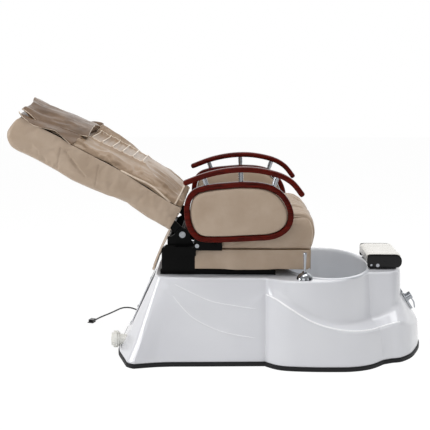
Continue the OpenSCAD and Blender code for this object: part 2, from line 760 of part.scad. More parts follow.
module seat_board() {
  color("burlywood")
    block([-seat_rear, -seat_w, frame_top], [seat_front - 14, seat_w, seat_base_h]);
}
channel_run = seat_w - 20;
function seam_dip(y, half, count) =
  let (f = (y + half) / (2 * half) * count, g = abs(f - round(f))) abs(y) > half ? 0 : max(0, 1 - g / 0.16);
// Side view of the cushion at one place across the seat, drawn clockwise from the rear underside
function seat_outline(crown, drawn, dip) =
  let (t = seat_thick, r = -seat_rear, f = seat_front, z = seat_base_h + fit)
    let (p = curve([
      [r + 8, 0], [r, 0.12 * t], [r, 0.45 * t], [r + 8, 0.74 * t], [r + 45, 0.93 * t], [-100, 0.98 * t],
      [20, t], [90, t], [f - 38, 0.97 * t], [f - 14, 0.84 * t], [f - 3, 0.62 * t],
      [f, 0.4 * t], [f - 4, 0.18 * t], [f - 12, 0]
    ], 2))
      let (g = grow(p, drawn + dip))
        [for (i = [0 : len(p) - 1])
          i == 0 || i == len(p) - 1 ? [p[i].x, z] : [g[i].x, z + max(1, g[i].y * crown)]];
seat_stations = [
  [-1, 12], [-0.985, 5], [-0.95, 1],
  each [for (c = [0 : seat_channels - 1]) for (s = [0, 0.16, 0.5, 0.84])
    [channel_run / seat_w * (2 * (c + s) / seat_channels - 1), 0]],
  [channel_run / seat_w, 0], [0.95, 1], [0.985, 5], [1, 12]
];
module seat_cushion() {
  color("tan")
    loft([
      for (s = seat_stations)
        let (
          y = s[0] * seat_w,
          crown = 0.64 + 0.36 * sqrt(max(0, 1 - pow(abs(s[0]), 2.4))),
          dip = channel_depth * seam_dip(y, channel_run, seat_channels)
        ) [for (q = seat_outline(crown, s[1], dip)) [q.x, y, q.y]]
    ]);
}
skirt_t = 4;
skirt_wave = 3;
// Hanging apron, wavy in plan: one flap on each side and one in front
module seat_skirt() {
  run = seat_front - 22 + 345;
  steps = 36;
  color("tan") {
    both_sides()
      translate([0, 0, hem_h]) linear_extrude(seat_base_h - hem_h)
        polygon([
          for (i = [0 : steps]) wave_point(i, steps, run, 0),
          for (i = [steps : -1 : 0]) wave_point(i, steps, run, skirt_t)
        ]);
    translate([0, 0, hem_h]) linear_extrude(seat_base_h - hem_h)
      polygon([
        for (i = [0 : 24]) [front_wave(i), (i / 12 - 1) * (seat_w - 4)],
        for (i = [24 : -1 : 0]) [front_wave(i) - skirt_t, (i / 12 - 1) * (seat_w - 4)]
      ]);
  }
}
function wave_point(i, n, run, out) =
  [i / n * run - 345, -seat_w - fit - out - skirt_wave * (0.5 - 0.5 * cos(i * 360 * 4 / n))];
function front_wave(i) = seat_front - 14 + fit + skirt_t + skirt_wave * (0.5 - 0.5 * cos(i * 360 * 3 / 24));
curtain_top = [bar_at.x - bar_r - 1.3, bar_at.y + 5];
curtain_low = [-536, deck_h + 9];
curtain_w = 205;
module back_curtain() {
  steps = 30;
  color("tan")
    loft([
      for (k = [0 : 5])
        let (c = mix(curtain_low, curtain_top, k / 5), deep = 4 * (1 - k / 6))
          [
            for (i = [0 : steps]) [c.x - 2 + deep * cos(i * 360 * 5 / steps), (1 - 2 * i / steps) * curtain_w, c.y],
            for (i = [steps : -1 : 0]) [c.x + 2 + deep * cos(i * 360 * 5 / steps), (1 - 2 * i / steps) * curtain_w, c.y]
          ]
    ]);
}
actuator_y = 130;
actuator_h = deck_h + 22;
actuator_rear = -425;
tube_front = actuator_rear + 165;
rod_rear = tube_front - seat_travel - 20;
rod_front = -90;
module slide_actuator() {
  color("dimgray")
    difference() {
      union() {
        block([actuator_rear, actuator_y - 20, deck_h], [actuator_rear + 45, actuator_y + 20, deck_h + 42]);
        translate([actuator_rear + 45, actuator_y, actuator_h]) rotate([0, 90, 0])
          cylinder(h = tube_front - actuator_rear - 45, r = 15);
      }
      translate([rod_rear - 10, actuator_y, actuator_h]) rotate([0, 90, 0])
        cylinder(h = tube_front - rod_rear + 30, r = 7 + fit);
    }
}
module slide_rod() {
  color("silver") {
    translate([rod_rear, actuator_y, actuator_h]) rotate([0, 90, 0]) cylinder(h = rod_front - rod_rear, r = 7);
    block([-98, actuator_y - 10, actuator_h - 8], [-72, actuator_y + 10, under_seat(0.37)]);
  }
}

// ---- Recline drive ----
drive_r = 17;
eye_slack = 7;
module on_drive() {
  translate([drive_pivot.x, 0, drive_pivot.y]) rotate([0, drive_angle, 0]) rotate([0, 0, 180]) children();
}
module recline_motor() {
  color("dimgray")
    on_drive()
      difference() {
        union() {
          rotate([90, 0, 0]) cylinder(h = 20, r = 12, center = true);
          block([0, -10, -9], [24, 10, 9]);
          translate([18, 0, 0]) rotate([0, 90, 0]) cylinder(h = 158, r = drive_r);
          translate([24, drive_r + 10, 0]) rotate([0, 90, 0]) cylinder(h = 70, r = 13);
        }
        rotate([90, 0, 0]) cylinder(h = 60, r = drive_pin_r + snug, center = true);
        translate([40, 0, 0]) rotate([0, 90, 0]) cylinder(h = 160, r = 8 + fit);
      }
}
module recline_rod() {
  color("silver")
    on_drive()
      difference() {
        union() {
          translate([60, 0, 0]) rotate([0, 90, 0]) cylinder(h = drive_len - 72, r = 8);
          translate([drive_len, 0, 0]) rotate([90, 0, 0]) cylinder(h = 18, r = drive_pin_r + eye_slack + 4, center = true);
        }
        translate([drive_len, 0, 0]) rotate([90, 0, 0]) cylinder(h = 40, r = drive_pin_r + eye_slack, center = true);
      }
}

// ---- Armrests ----
// Rear end, length, underside and height of the wooden ring
ring_x = -388;
ring_len = 468;
ring_low = seat_base_h + 46;
ring_tall = 263;
rail_gap = 51;
pivot = [-334, seat_base_h + 25];
stop_bolt = [-262, seat_base_h + 25];
ring_shape = [
  [0, 0.52], [0.02, 0.72], [0.09, 0.875], [0.225, 0.95], [0.4, 0.985], [0.54, 1], [0.7, 0.985],
  [0.82, 0.925], [0.915, 0.8], [0.98, 0.61], [1, 0.42], [0.97, 0.24], [0.89, 0.11], [0.78, 0.045],
  [0.65, 0.03], [0.46, 0.01], [0.29, 0], [0.165, 0.01], [0.08, 0.09], [0.02, 0.27]
];
ring_outline = loop([for (q = ring_shape) [ring_x + ring_len * q.x, ring_low + ring_tall * q.y]], 3);
rail_shape = [
  [0.017, -57], [0.22, -22], [0.43, -3], [0.64, -2], [0.85, -22], [0.98, -55], [1.07, -105]
];
rail_line = curve(
  [for (q = rail_shape) [ring_x + ring_len * q.x, ring_low + ring_tall + rail_gap + q.y]], 5);
function side_line(p, d) = [
  for (i = [0 : len(p) - 1])
    let (t = unit(p[min(i + 1, len(p) - 1)] - p[max(i - 1, 0)])) [p[i].x - t.y * d, p[i].y + t.x * d]
];
post_at = [4, 12, 20];
module arm_ring() {
  slabbed(ring_depth)
    difference() {
      polygon(ring_outline);
      polygon(grow(ring_outline, ring_band));
    }
}
module slabbed(depth) {
  translate([0, -arm_y + depth / 2, 0]) rotate([90, 0, 0]) linear_extrude(depth) children();
}
module arm_panel() {
  rings = [[-0.57, 10], [-0.5, 3], [-0.3, 0], [0.3, 0], [0.5, 3], [0.57, 10]];
  color("tan")
    loft([
      for (s = rings)
        [for (q = grow(ring_outline, ring_band + fit + s[1])) [q.x, s[0] * (ring_depth + 4) - arm_y, q.y]]
    ]);
}
function end_arc(c, t) =
  [for (a = [75 : -15 : -75]) c + rail_t / 2 * [t.x * cos(a) - t.y * sin(a), t.x * sin(a) + t.y * cos(a)]];
module arm_rail() {
  n = len(rail_line) - 1;
  low = side_line(rail_line, -rail_t / 2);
  slabbed(ring_depth)
    polygon([
      each side_line(rail_line, rail_t / 2), each end_arc(rail_line[n], unit(rail_line[n] - rail_line[n - 1])),
      for (i = [n : -1 : 0]) low[i], each end_arc(rail_line[0], unit(rail_line[0] - rail_line[1]))
    ]);
}
module arm_posts() {
  color("silver")
    difference() {
      for (k = post_at)
        let (t = unit(rail_line[k + 1] - rail_line[k - 1]), n = [t.y, -t.x], c = rail_line[k], e = c + n * (rail_gap + 10)) {
          rod([c.x, -arm_y, c.y], [e.x, -arm_y, e.y], post_r - 1.5);
          for (s = [0.34, 0.5, 0.66])
            let (m = c + n * (rail_gap + 4) * s)
              rod([m.x, -arm_y, m.y] - 3 * [n.x, 0, n.y], [m.x, -arm_y, m.y] + 3 * [n.x, 0, n.y], post_r);
        }
      arm_rail();
      slabbed(ring_depth) polygon(ring_outline);
    }
}
lug_out = ring_depth / 2;
lug_t = 8;
module arm_lug() {
  color("black")
    difference() {
      translate([0, -arm_y + lug_out + lug_t, 0]) rotate([90, 0, 0]) linear_extrude(lug_t)
        polygon([
          for (q = [[-347, 4], [-226, 4], [-226, 52], [-240, 66], [-333, 66], [-347, 52]]) [q.x, seat_base_h + q.y]
        ]);
      for (b = [pivot, stop_bolt])
        translate([b.x, -arm_y, b.y]) rotate([90, 0, 0]) cylinder(h = 200, r = arm_bolt_r + snug, center = true);
    }
}
bracket_out = arm_y - lug_out - lug_t - fit;
module arm_brackets() {
  color("black")
    both_sides()
      difference() {
        union() {
          block([-347, -bracket_out, seat_base_h + 4], [-226, -plate_w - 5, seat_base_h + 39]);
          block([-430, -bracket_out, seat_base_h - 22], [-340, -plate_w - 5, seat_base_h + 16]);
          block([-430, -plate_w - 6, seat_base_h - 22], [box_front, -plate_w, seat_base_h + 16]);
        }
        translate([pivot.x, 0, pivot.y]) rotate([90, 0, 0]) cylinder(h = 800, r = arm_bolt_r + snug, center = true);
      }
}
module arm_bolts() {
  color("silver")
    both_sides() {
      translate([pivot.x, -plate_w - 6, pivot.y]) rotate([90, 0, 0])
        cylinder(h = arm_y - lug_out - plate_w - 6 + fit, r = arm_bolt_r);
      translate([pivot.x, -arm_y + lug_out - fit, pivot.y]) rotate([90, 0, 0]) cylinder(h = 5, r = 9);
    }
}
module stop_bolts() {
  color("silver")
    translate([stop_bolt.x, -arm_y + lug_out + lug_t, stop_bolt.y]) rotate([90, 0, 0]) {
      cylinder(h = lug_t + 0.2, r = arm_bolt_r);
      translate([0, 0, lug_t]) cylinder(h = 5, r = 9);
    }
}
module ring_left() { color("maroon") mirror([0, 1, 0]) arm_ring(); }
module panel_left() { mirror([0, 1, 0]) arm_panel(); }
module posts_left() { mirror([0, 1, 0]) arm_posts(); }
module handrail_left() { color("maroon") mirror([0, 1, 0]) arm_rail(); }
module lug_left() { mirror([0, 1, 0]) { arm_lug(); } mirror([0, 1, 0]) stop_bolts(); }
module ring_right() { color("maroon") arm_ring(); }
module panel_right() { arm_panel(); }
module posts_right() { arm_posts(); }
module handrail_right() { color("maroon") arm_rail(); }
module lug_right() { arm_lug(); stop_bolts(); }

// ---- Back ----
back_low = 60;
back_front = back_t - 15;
arm_in = 229;
lever_tip = [-lever_r * sin(recline), -lever_r * cos(recline)];
shell_back = [
  [back_low, -16], [193, -4], [293, 5], [336, 0], [419, -9], [532, -20], [615, -17], [747, -16],
  [back_len - 50, -14]
];
shell_head = [[back_len - 13, 6], [back_len, 40], [back_len - 2, 80], [back_len - 14, 105], [back_len - 28, back_front]];
shell_profile = [each curve([each shell_back, each shell_head], 3), [back_low + 6, back_front], [back_low + 6, 90]];
module back_shell() {
  inside = [
    [back_low + back_wall, back_front + 1], [back_low + back_wall, 14],
    each [for (q = curve([each shell_back, each shell_head], 3)) if (q.x > back_low + 20) inset_point(q)],
    [back_len - 34, back_front + 1]
  ];
  color("tan")
    on_back()
      difference() {
        slab(shell_profile, -back_w, back_w);
        slab(inside, -back_w + back_wall, back_w - back_wall);
        both_sides() block([back_low - 10, -hinge_out, -60], [back_low + 30, -arm_in + 3, 60]);
      }
}
function inset_point(q) =
  let (c = [back_len - 90, 50], far = q.x > c.x, v = q - c)
    far ? c + v * (1 - back_wall / norm(v)) : [q.x, q.y + back_wall];
module back_frame() {
  color("black")
    on_back()
      difference() {
        union() {
          both_sides() {
            slab([
              [-18, -14], [10, -20], [back_low + 46, 14], [293, 13.3], [back_len - 80, 20], [back_len - 80, 48],
              [back_low + 40, 48], [-8, 20], [-20, 8]
            ], -hinge_in + fit, -arm_in);
          }
          for (u = [back_low + 45, back_len - 92]) block([u, -arm_in - 1, 34], [u + 12, arm_in + 1, 76]);
          rotate([90, 0, 0]) cylinder(h = 2 * arm_in + 2, r = 13, center = true);
          both_sides() slab([
            [8, -9], [8, 9], [-8, 9], lever_tip + [-11, 4], lever_tip + [-5, -10], lever_tip + [9, -8]
          ], -20, -10);
          translate([lever_tip.x, 0, lever_tip.y]) rotate([90, 0, 0]) cylinder(h = 40, r = drive_pin_r, center = true);
        }
        rotate([90, 0, 0]) cylinder(h = 700, r = hinge_pin_r + snug, center = true);
      }
}
module hinge_pins() {
  color("silver")
    both_sides()
      translate([-hinge_x, -arm_in + 4, hinge_h]) rotate([90, 0, 0]) {
        cylinder(h = hinge_out - arm_in + 5, r = hinge_pin_r);
        translate([0, 0, hinge_out - arm_in + 4 + fit]) cylinder(h = 4, r = hinge_pin_r + 6);
      }
}
// Height of the pad above the shell along the back, and across it
pad_line = [
  [back_low + 2, 0.34], [back_low + 12, 0.5], [96, 0.62], [136, 0.78], [193, 0.86], [250, 0.93],
  [305, 0.97], [370, 1], [476, 1.02], [566, 0.9], [640, 0.78], [720, 0.7], [800, 0.56], [back_len - 40, 0.42],
  [back_len - 28, 0.3]
];
seam_first = 255;
seam_last = 555;
panel_half = 118;
function seam_at(i) = mix(seam_first, seam_last, i / (cross_seams - 1));
function pad_height(u) = pad_t * lookup(u, pad_line);
pad_low_us = [back_low + 2, back_low + 12, 96, 136, 193, 230];
pad_high_us = [600, 640, 680, 720, 760, 800, back_len - 40, back_len - 28];
pad_us = [
  each pad_low_us,
  each [for (i = [0 : cross_seams - 1]) each [seam_at(i) - 7, seam_at(i), seam_at(i) + 7, if (i < cross_seams - 1) seam_at(i) + 25]],
  each pad_high_us
];
pad_fs = [-1, -0.97, -0.88, -0.72, -0.52, -0.46, -0.4, -0.2, 0, 0.2, 0.4, 0.46, 0.52, 0.72, 0.88, 0.97, 1];
function pad_top(u, f) =
  let (
    across = pow(max(0, 1 - pow(abs(f), 3)), 0.55),
    seam = max([for (i = [0 : cross_seams - 1]) abs(u - seam_at(i)) < 3 && abs(f) < 0.47 ? 6 : 0]),
    edge = abs(abs(f) - 0.46) < 0.01 && u > seam_first - 40 && u < seam_last + 40 ? 5 : 0
  ) back_front + fit + max(4, pad_height(u) * (0.12 + 0.88 * across) - max(seam, edge));
function pad_half(u) = back_w - 6 - 26 * pow(max(0, (u - back_len + 120) / 120), 2);
module back_pad() {
  color("tan")
    on_back()
      loft([
        for (u = pad_us)
          [
            [u, -pad_half(u) + 2, back_front + fit], [u, pad_half(u) - 2, back_front + fit],
            for (i = [len(pad_fs) - 1 : -1 : 0]) [u, pad_fs[i] * pad_half(u), pad_top(u, pad_fs[i])]
          ]
      ]);
}
pillow_fs = [-0.72, -0.52, -0.46, -0.4, -0.2, 0, 0.2, 0.4, 0.46, 0.52, 0.72];
pillow_t = 26;
pillow_gap = 1;
function pillow_rise(u, f) =
  let (along = sin(180 * max(0.06, min(0.94, (u - 590) / (back_len - 560)))))
    pillow_t * (0.25 + 0.75 * pow(along, 0.5)) * (1 - 0.55 * pow(abs(f) / 0.72, 3));
module head_pillow() {
  color("tan")
    on_back()
      loft([
        for (u = [600, 640, 680, 720, 760, 800, back_len - 40, back_len - 28, back_len - 4, back_len + 14])
          let (v = min(u, back_len - 28), drop = max(0, u - back_len + 28) * 0.12)
            [
              for (f = pillow_fs) [u, f * pad_half(v), pad_top(v, f) + pillow_gap - drop],
              for (i = [len(pillow_fs) - 1 : -1 : 0])
                [u, pillow_fs[i] * pad_half(v), pad_top(v, pillow_fs[i]) + pillow_gap - drop + pillow_rise(u, pillow_fs[i])]
            ]
      ]);
}
track_h = 55;
track_y = 60;
module massage_track() {
  low = back_low + 57;
  high = back_len - 92;
  color("silver")
    on_back()
      for (y = [-track_y, 0, track_y])
        translate([low, y, track_h]) rotate([0, 90, 0]) cylinder(h = high - low, r = y == 0 ? 6 : 8);
}
carriage_u = 150;
axle_u = [carriage_u + 18, carriage_u + 72];
axle_h = back_front - roller_r - 5;
module massage_carriage() {
  color("dimgray")
    on_back()
      difference() {
        union() {
          block([carriage_u, -track_y - 18, track_h - 14], [carriage_u + 90, track_y + 18, track_h + 14]);
          block([carriage_u + 6, -12, track_h], [carriage_u + 84, 12, axle_h + 9]);
          translate([carriage_u + 10, 34, track_h - 12]) rotate([0, 90, 0]) cylinder(h = 70, r = 16);
        }
        for (y = [-track_y, 0, track_y])
          translate([carriage_u - 5, y, track_h]) rotate([0, 90, 0]) cylinder(h = 120, r = (y == 0 ? 6 : 8) + fit);
        for (u = axle_u)
          translate([u, 0, axle_h]) rotate([90, 0, 0]) cylinder(h = 60, r = 5 + snug, center = true);
      }
}
module roller_pair(u) {
  color("dimgray")
    on_back()
      translate([u, 0, axle_h]) {
        rotate([90, 0, 0]) cylinder(h = 100, r = 5, center = true);
        both_sides() translate([0, -30, 0]) rotate([90, 0, 0]) cylinder(h = 22, r = roller_r);
      }
}
module upper_rollers() { roller_pair(axle_u[1]); }
module lower_rollers() { roller_pair(axle_u[0]); }

// ---- Mains lead ----
// The lead leaves the gland, crosses to a stowed coil behind the base and runs on to its plug
lead_route = [
  [-560, 415, 60], [-560, 425, 60], [-560, 440, 58], [-561, 458, 50], [-562, 475, 39], [-562, 492, 28],
  [-562, 510, 19], [-561, 528, 11], [-558, 546, 6], [-552, 564, 4], [-541, 581, 3.75], [-525, 595, 3.75],
  [-506, 604, 3.75], [-484, 608, 3.75], [-462, 609, 3.75], [-437.5, 609, 3.75]
];
end_route = [
  [-437.5, 511, 12.15], [-452, 511, 12], [-470, 510, 9.5], [-490, 508, 6], [-512, 504, 3.75], [-536, 499, 3.75],
  [-562, 492, 3.75], [-590, 486, 3.75], [-618, 483, 3.75], [-646, 486, 3.75], [-672, 496, 3.75],
  [-694, 512, 3.75], [-712, 532, 3.75], [-730, 550, 3.75], [-750, 558, 3.75], [-770, 554, 3.75],
  [-786, 538, 3.75], [-799, 512, 3.75], [-811, 484, 3.75], [-824, 456, 3.75], [-838, 428, 3.75],
  [-854, 400, 3.75], [-868, 372, 3.75], [-880, 344, 3.75], [-890, 316, 3.75]
];
coil_centre = [-430, 560];
coil_r = 49;
coil_pitch = 2 * cord_r + 0.9;
coil_span = coil_turns + 0.5;
function coil_point(t) =
  let (
    h = coil_span / 2, r = coil_r - coil_pitch * (h - abs(t - h)), a = 90 - 360 * t,
    climb = min(1, max(0, (t - h + 0.25) / 0.5))
  ) [coil_centre.x + r * cos(a), coil_centre.y + r * sin(a), cord_r + coil_pitch * climb];
coil_line = [
  [coil_centre.x - 2 * cord_r, coil_centre.y + coil_r, cord_r],
  for (i = [0 : coil_span * 24]) coil_point(i / 24),
  [coil_centre.x - 2 * cord_r, coil_centre.y - coil_r, cord_r + coil_pitch]
];
coil_gap = min([
  for (i = [0 : len(coil_line) - 1]) for (j = [i + 18 : 1 : len(coil_line) - 1]) norm(coil_line[i] - coil_line[j])
]) - 2 * cord_r;
echo(coil_gap = coil_gap);
module cord_gland() {
  wall_y = 374.5;
  color("black")
    translate([gland_x, wall_y - 22, gland_h]) rotate([-90, 0, 0])
      rotate_extrude()
        polygon([
          [0, -4], [13, -4], [13, 4], [gland_r, 4], [gland_r, 30], [14, 30], [14, 38], [9, 40], [4.6, 62.5], [0, 62.5]
        ]);
}
module power_cord() {
  color("black") {
    swept_tube(lead_route, cord_r, 8);
    swept_tube(end_route, cord_r, 8);
  }
}
module cord_coil() { color("black") swept_tube(coil_line, cord_r, 6); }
plug_h = 14;
module mains_plug() {
  last = end_route[len(end_route) - 1];
  run = unit(last - end_route[len(end_route) - 2]);
  translate(last) rotate([0, 0, atan2(run.y, run.x)]) {
    color("black") {
      difference() {
        rotate([0, 90, 0]) cylinder(h = 14, r1 = cord_r, r2 = 7);
        block([-1, -10, -20], [15, 10, -last.z]);
      }
      block([12, -12, -last.z], [42, 12, plug_h - last.z + 4]);
    }
    color("silver") both_sides() translate([41, -6, 4]) rotate([0, 90, 0]) cylinder(h = 19, r = 2.2);
  }
}

base_shell();
foot_basin();
kick_strip();
floor_frame();
slide_rails();
service_panel();
panel_screws();
drain_strainer();
drain_plug();
drain_pipe();
drain_union();
union_nut();
jet_nozzles();
circulation_pump();
jet_pipes();
mixer_body();
mixer_cap();
mixer_lever();
shower_dome();
hand_shower();
water_hoses();
footrest_bracket();
footrest_pin();
footrest_shell();
footrest_cushion();
control_box();
cord_gland();
power_cord();
cord_coil();
mains_plug();
seat_frame();
seat_board();
seat_cushion();
seat_skirt();
back_curtain();
slide_actuator();
slide_rod();
hinge_pins();
arm_brackets();
arm_bolts();
lug_left();
lug_right();
ring_left();
panel_left();
posts_left();
handrail_left();
ring_right();
panel_right();
posts_right();
handrail_right();
back_frame();
back_shell();
back_pad();
head_pillow();
massage_track();
massage_carriage();
upper_rollers();
lower_rollers();
recline_motor();
recline_rod();
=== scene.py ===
"""Looks of a pedicure spa chair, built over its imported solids.

Lengths are written in millimetres and turned to metres where a mesh is made. +Z is up, the
sitter faces +X and the chair's mid-plane is Y = 0.
"""

import logging
import math
from collections.abc import Callable, Sequence
from dataclasses import dataclass
from enum import Enum

import bpy
import numpy as np
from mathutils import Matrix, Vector


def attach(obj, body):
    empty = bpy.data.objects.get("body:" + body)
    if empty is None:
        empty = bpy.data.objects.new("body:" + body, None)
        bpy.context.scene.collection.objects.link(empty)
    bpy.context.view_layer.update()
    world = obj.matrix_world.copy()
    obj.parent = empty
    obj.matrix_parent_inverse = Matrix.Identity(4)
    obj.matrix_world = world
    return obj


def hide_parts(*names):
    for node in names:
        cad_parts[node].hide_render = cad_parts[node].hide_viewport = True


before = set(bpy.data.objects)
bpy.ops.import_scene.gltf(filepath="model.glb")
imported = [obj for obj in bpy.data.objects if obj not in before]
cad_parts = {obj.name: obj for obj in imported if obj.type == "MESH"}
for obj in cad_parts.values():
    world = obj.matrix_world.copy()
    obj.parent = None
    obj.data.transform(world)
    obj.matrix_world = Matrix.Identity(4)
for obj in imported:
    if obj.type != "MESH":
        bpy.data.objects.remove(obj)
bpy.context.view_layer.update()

Point = tuple[float, float, float]
Flat = tuple[float, float]
Place = Callable[[np.ndarray, np.ndarray], np.ndarray]
log = logging.getLogger("pedicure_chair")


class Side(Enum):
    """The sitter's two sides, by the sign of Y."""

    RIGHT = -1
    LEFT = 1


SIDES = tuple((side.value, side.name.lower()) for side in Side)


# ---------------------------------------------------------------------------------------------
# Curves
# ---------------------------------------------------------------------------------------------
def knot(p0: np.ndarray, p1: np.ndarray, p2: np.ndarray, p3: np.ndarray, t: float) -> np.ndarray:
    """Point of a Catmull-Rom stretch from p1 to p2 at share t."""
    return 0.5 * (2 * p1 + (p2 - p0) * t + (2 * p0 - 5 * p1 + 4 * p2 - p3) * t * t
                  + (3 * p1 - p0 - 3 * p2 + p3) * t ** 3)


def open_curve(points: Sequence[Sequence[float]], steps: int) -> np.ndarray:
    """Smooth open line through points.

    Args:
        points: the points that the line passes through.
        steps: pieces on each stretch between two points.

    Returns:
        The points of the line, one per row.
    """
    p = [np.array(q, float) for q in points]
    last = len(p) - 1
    line = [knot(p[max(i - 1, 0)], p[i], p[i + 1], p[min(i + 2, last)], s / steps)
            for i in range(last) for s in range(steps)]
    return np.array([*line, p[last]])


def closed_curve(points: Sequence[Sequence[float]], steps: int) -> np.ndarray:
    """Smooth closed line through points, with steps pieces on each stretch."""
    p = [np.array(q, float) for q in points]
    n = len(p)
    return np.array([knot(p[i - 1], p[i], p[(i + 1) % n], p[(i + 2) % n], s / steps)
                     for i in range(n) for s in range(steps)])


def evenly(line: np.ndarray, count: int, closed: bool = False) -> np.ndarray:
    """The same line with count points at even distances along it."""
    p = np.vstack([line, line[:1]]) if closed else np.asarray(line, float)
    along = np.r_[0, np.cumsum(np.linalg.norm(np.diff(p, axis=0), axis=1))]
    at = np.linspace(0, along[-1], count + 1)[:-1] if closed else np.linspace(0, along[-1], count)
    return np.stack([np.interp(at, along, p[:, k]) for k in range(p.shape[1])], 1)


def outward(line: np.ndarray) -> np.ndarray:
    """Unit normals of a closed flat line, outwards where it runs counterclockwise."""
    run = np.roll(line, -1, 0) - np.roll(line, 1, 0)
    run /= np.linalg.norm(run, axis=1)[:, None]
    return np.stack([run[:, 1], -run[:, 0]], 1)


def whole(value: np.ndarray) -> np.ndarray:
    """The nearest whole numbers."""
    return np.rint(value).astype(int)


def unit(value: np.ndarray) -> np.ndarray:
    """The value held between 0 and 1."""
    return np.clip(value, 0, 1)


def ramp(value: float, low: float, high: float) -> float:
    """0 below low, 1 above high and a smooth rise between."""
    t = min(1.0, max(0.0, (value - low) / (high - low)))
    return t * t * (3 - 2 * t)


# ---------------------------------------------------------------------------------------------
# Bench: how a piece is started, shaped, cut and finished
# ---------------------------------------------------------------------------------------------
def clear_selection() -> None:
    """Leaves nothing selected and no piece in edit mode."""
    if bpy.context.object is not None and bpy.context.object.mode != "OBJECT":
        bpy.ops.object.mode_set(mode="OBJECT")
    bpy.ops.object.select_all(action="DESELECT")


def pick(piece: bpy.types.Object) -> None:
    """Makes a piece the only selected and the active one."""
    clear_selection()
    piece.select_set(True)
    bpy.context.view_layer.objects.active = piece


def named(name: str) -> bpy.types.Object:
    """Gives the piece that was just added its name."""
    piece = bpy.context.object
    piece.name = piece.data.name = name
    return piece


def skin(name: str, columns: int, rows: int, place: Place,
         welded: bool = True) -> bpy.types.Object:
    """Stretches a grid over a form.

    Args:
        name: the piece's name.
        columns: squares along the first share.
        rows: squares along the second share.
        place: gives points in millimetres for two arrays of shares from 0 to 1.
        welded: whether the grid meets itself and becomes a closed form.

    Returns:
        The piece, smooth shaded, with its own UV map.
    """
    clear_selection()
    bpy.ops.mesh.primitive_grid_add(x_subdivisions=columns, y_subdivisions=rows, size=2)
    piece = named(name)
    share = unit((points_of(piece)[:, :2] + 1) / 2)
    set_points(piece, place(share[:, 0], share[:, 1]) / 1000)
    bpy.ops.object.shade_smooth()
    if welded:
        weld(piece)
    return piece


def weld(piece: bpy.types.Object) -> None:
    """Merges doubled points and turns the faces outwards."""
    pick(piece)
    bpy.ops.object.mode_set(mode="EDIT")
    bpy.ops.mesh.select_all(action="SELECT")
    bpy.ops.mesh.remove_doubles(threshold=0.00002)
    bpy.ops.mesh.normals_make_consistent(inside=False)
    bpy.ops.object.mode_set(mode="OBJECT")


def points_of(piece: bpy.types.Object) -> np.ndarray:
    """The piece's points in metres, one per row."""
    flat = np.empty(len(piece.data.vertices) * 3)
    piece.data.vertices.foreach_get("co", flat)
    return flat.reshape(-1, 3)


def set_points(piece: bpy.types.Object, points: np.ndarray) -> None:
    """Moves the piece's points to places in metres."""
    piece.data.vertices.foreach_set("co", np.ascontiguousarray(points, float).ravel())
    piece.data.update()


def press(piece: bpy.types.Object, depth: Callable[[np.ndarray], np.ndarray]) -> None:
    """Moves each point inwards along its normal.

    Args:
        piece: the piece to shape.
        depth: gives depths in millimetres for points in millimetres.
    """
    normals = np.empty(len(piece.data.vertices) * 3)
    piece.data.vertices.foreach_get("normal", normals)
    at = points_of(piece)
    set_points(piece, at - normals.reshape(-1, 3) * (depth(at * 1000) / 1000)[:, None])


def laid_on(
        piece: bpy.types.Object, points: np.ndarray, run: Sequence[float],
        sunk: float) -> np.ndarray:
    """Drops points along a direction onto a piece.

    Args:
        piece: what the points fall on.
        points: points in millimetres, above the piece.
        run: the direction in which they fall.
        sunk: how far each goes on below the surface, in millimetres.

    Returns:
        The points that met the piece, in millimetres.
    """
    way = Vector(run).normalized()
    met = []
    for p in np.asarray(points, float) / 1000:
        hit, where, _, _ = piece.ray_cast(Vector(p), way)
        if hit:
            met.append(np.array(where + way * sunk / 1000) * 1000)
    return np.array(met)


def modify(piece: bpy.types.Object, kind: str, **settings: object) -> None:
    """Adds a modifier with its settings and applies it."""
    pick(piece)
    modifier = piece.modifiers.new(kind.title(), kind)
    for key, value in settings.items():
        setattr(modifier, key, value)
    bpy.ops.object.modifier_apply(modifier=modifier.name)


def cut_away(piece: bpy.types.Object, cutter: bpy.types.Object) -> None:
    """Takes the cutter's space out of the piece and removes the cutter."""
    modify(piece, "BOOLEAN", object=cutter, operation="DIFFERENCE", solver="EXACT")
    bpy.data.objects.remove(cutter)


def plug(at: Point, axis: Point, radii: Flat | float, length: float,
         sides: int) -> bpy.types.Object:
    """Round or oval cutter round a point."""
    clear_selection()
    bpy.ops.mesh.primitive_cylinder_add(vertices=sides, radius=0.001, depth=length / 1000)
    cutter = named("cutter")
    wide = radii if isinstance(radii, tuple) else (radii, radii)
    pts = points_of(cutter) * (*wide, 1)
    if axis != (0, 0, 1):
        pts = pts @ np.array(Vector(axis).to_track_quat("Z", "Y").to_matrix()).T
    set_points(cutter, pts + np.array(at) / 1000)
    return cutter


def box_cutter(low: Point, high: Point) -> bpy.types.Object:
    """Box-shaped cutter between two corners."""
    clear_selection()
    bpy.ops.mesh.primitive_cube_add(size=1)
    cutter = named("cutter")
    lo, hi = np.array(low) / 1000, np.array(high) / 1000
    set_points(cutter, (points_of(cutter) + 0.5) * (hi - lo) + lo)
    return cutter


def smooth_by_angle(piece: bpy.types.Object, degrees: float = 32) -> None:
    """Shades a piece smooth, apart from edges sharper than an angle."""
    pick(piece)
    bpy.ops.object.shade_smooth_by_angle(angle=math.radians(degrees))


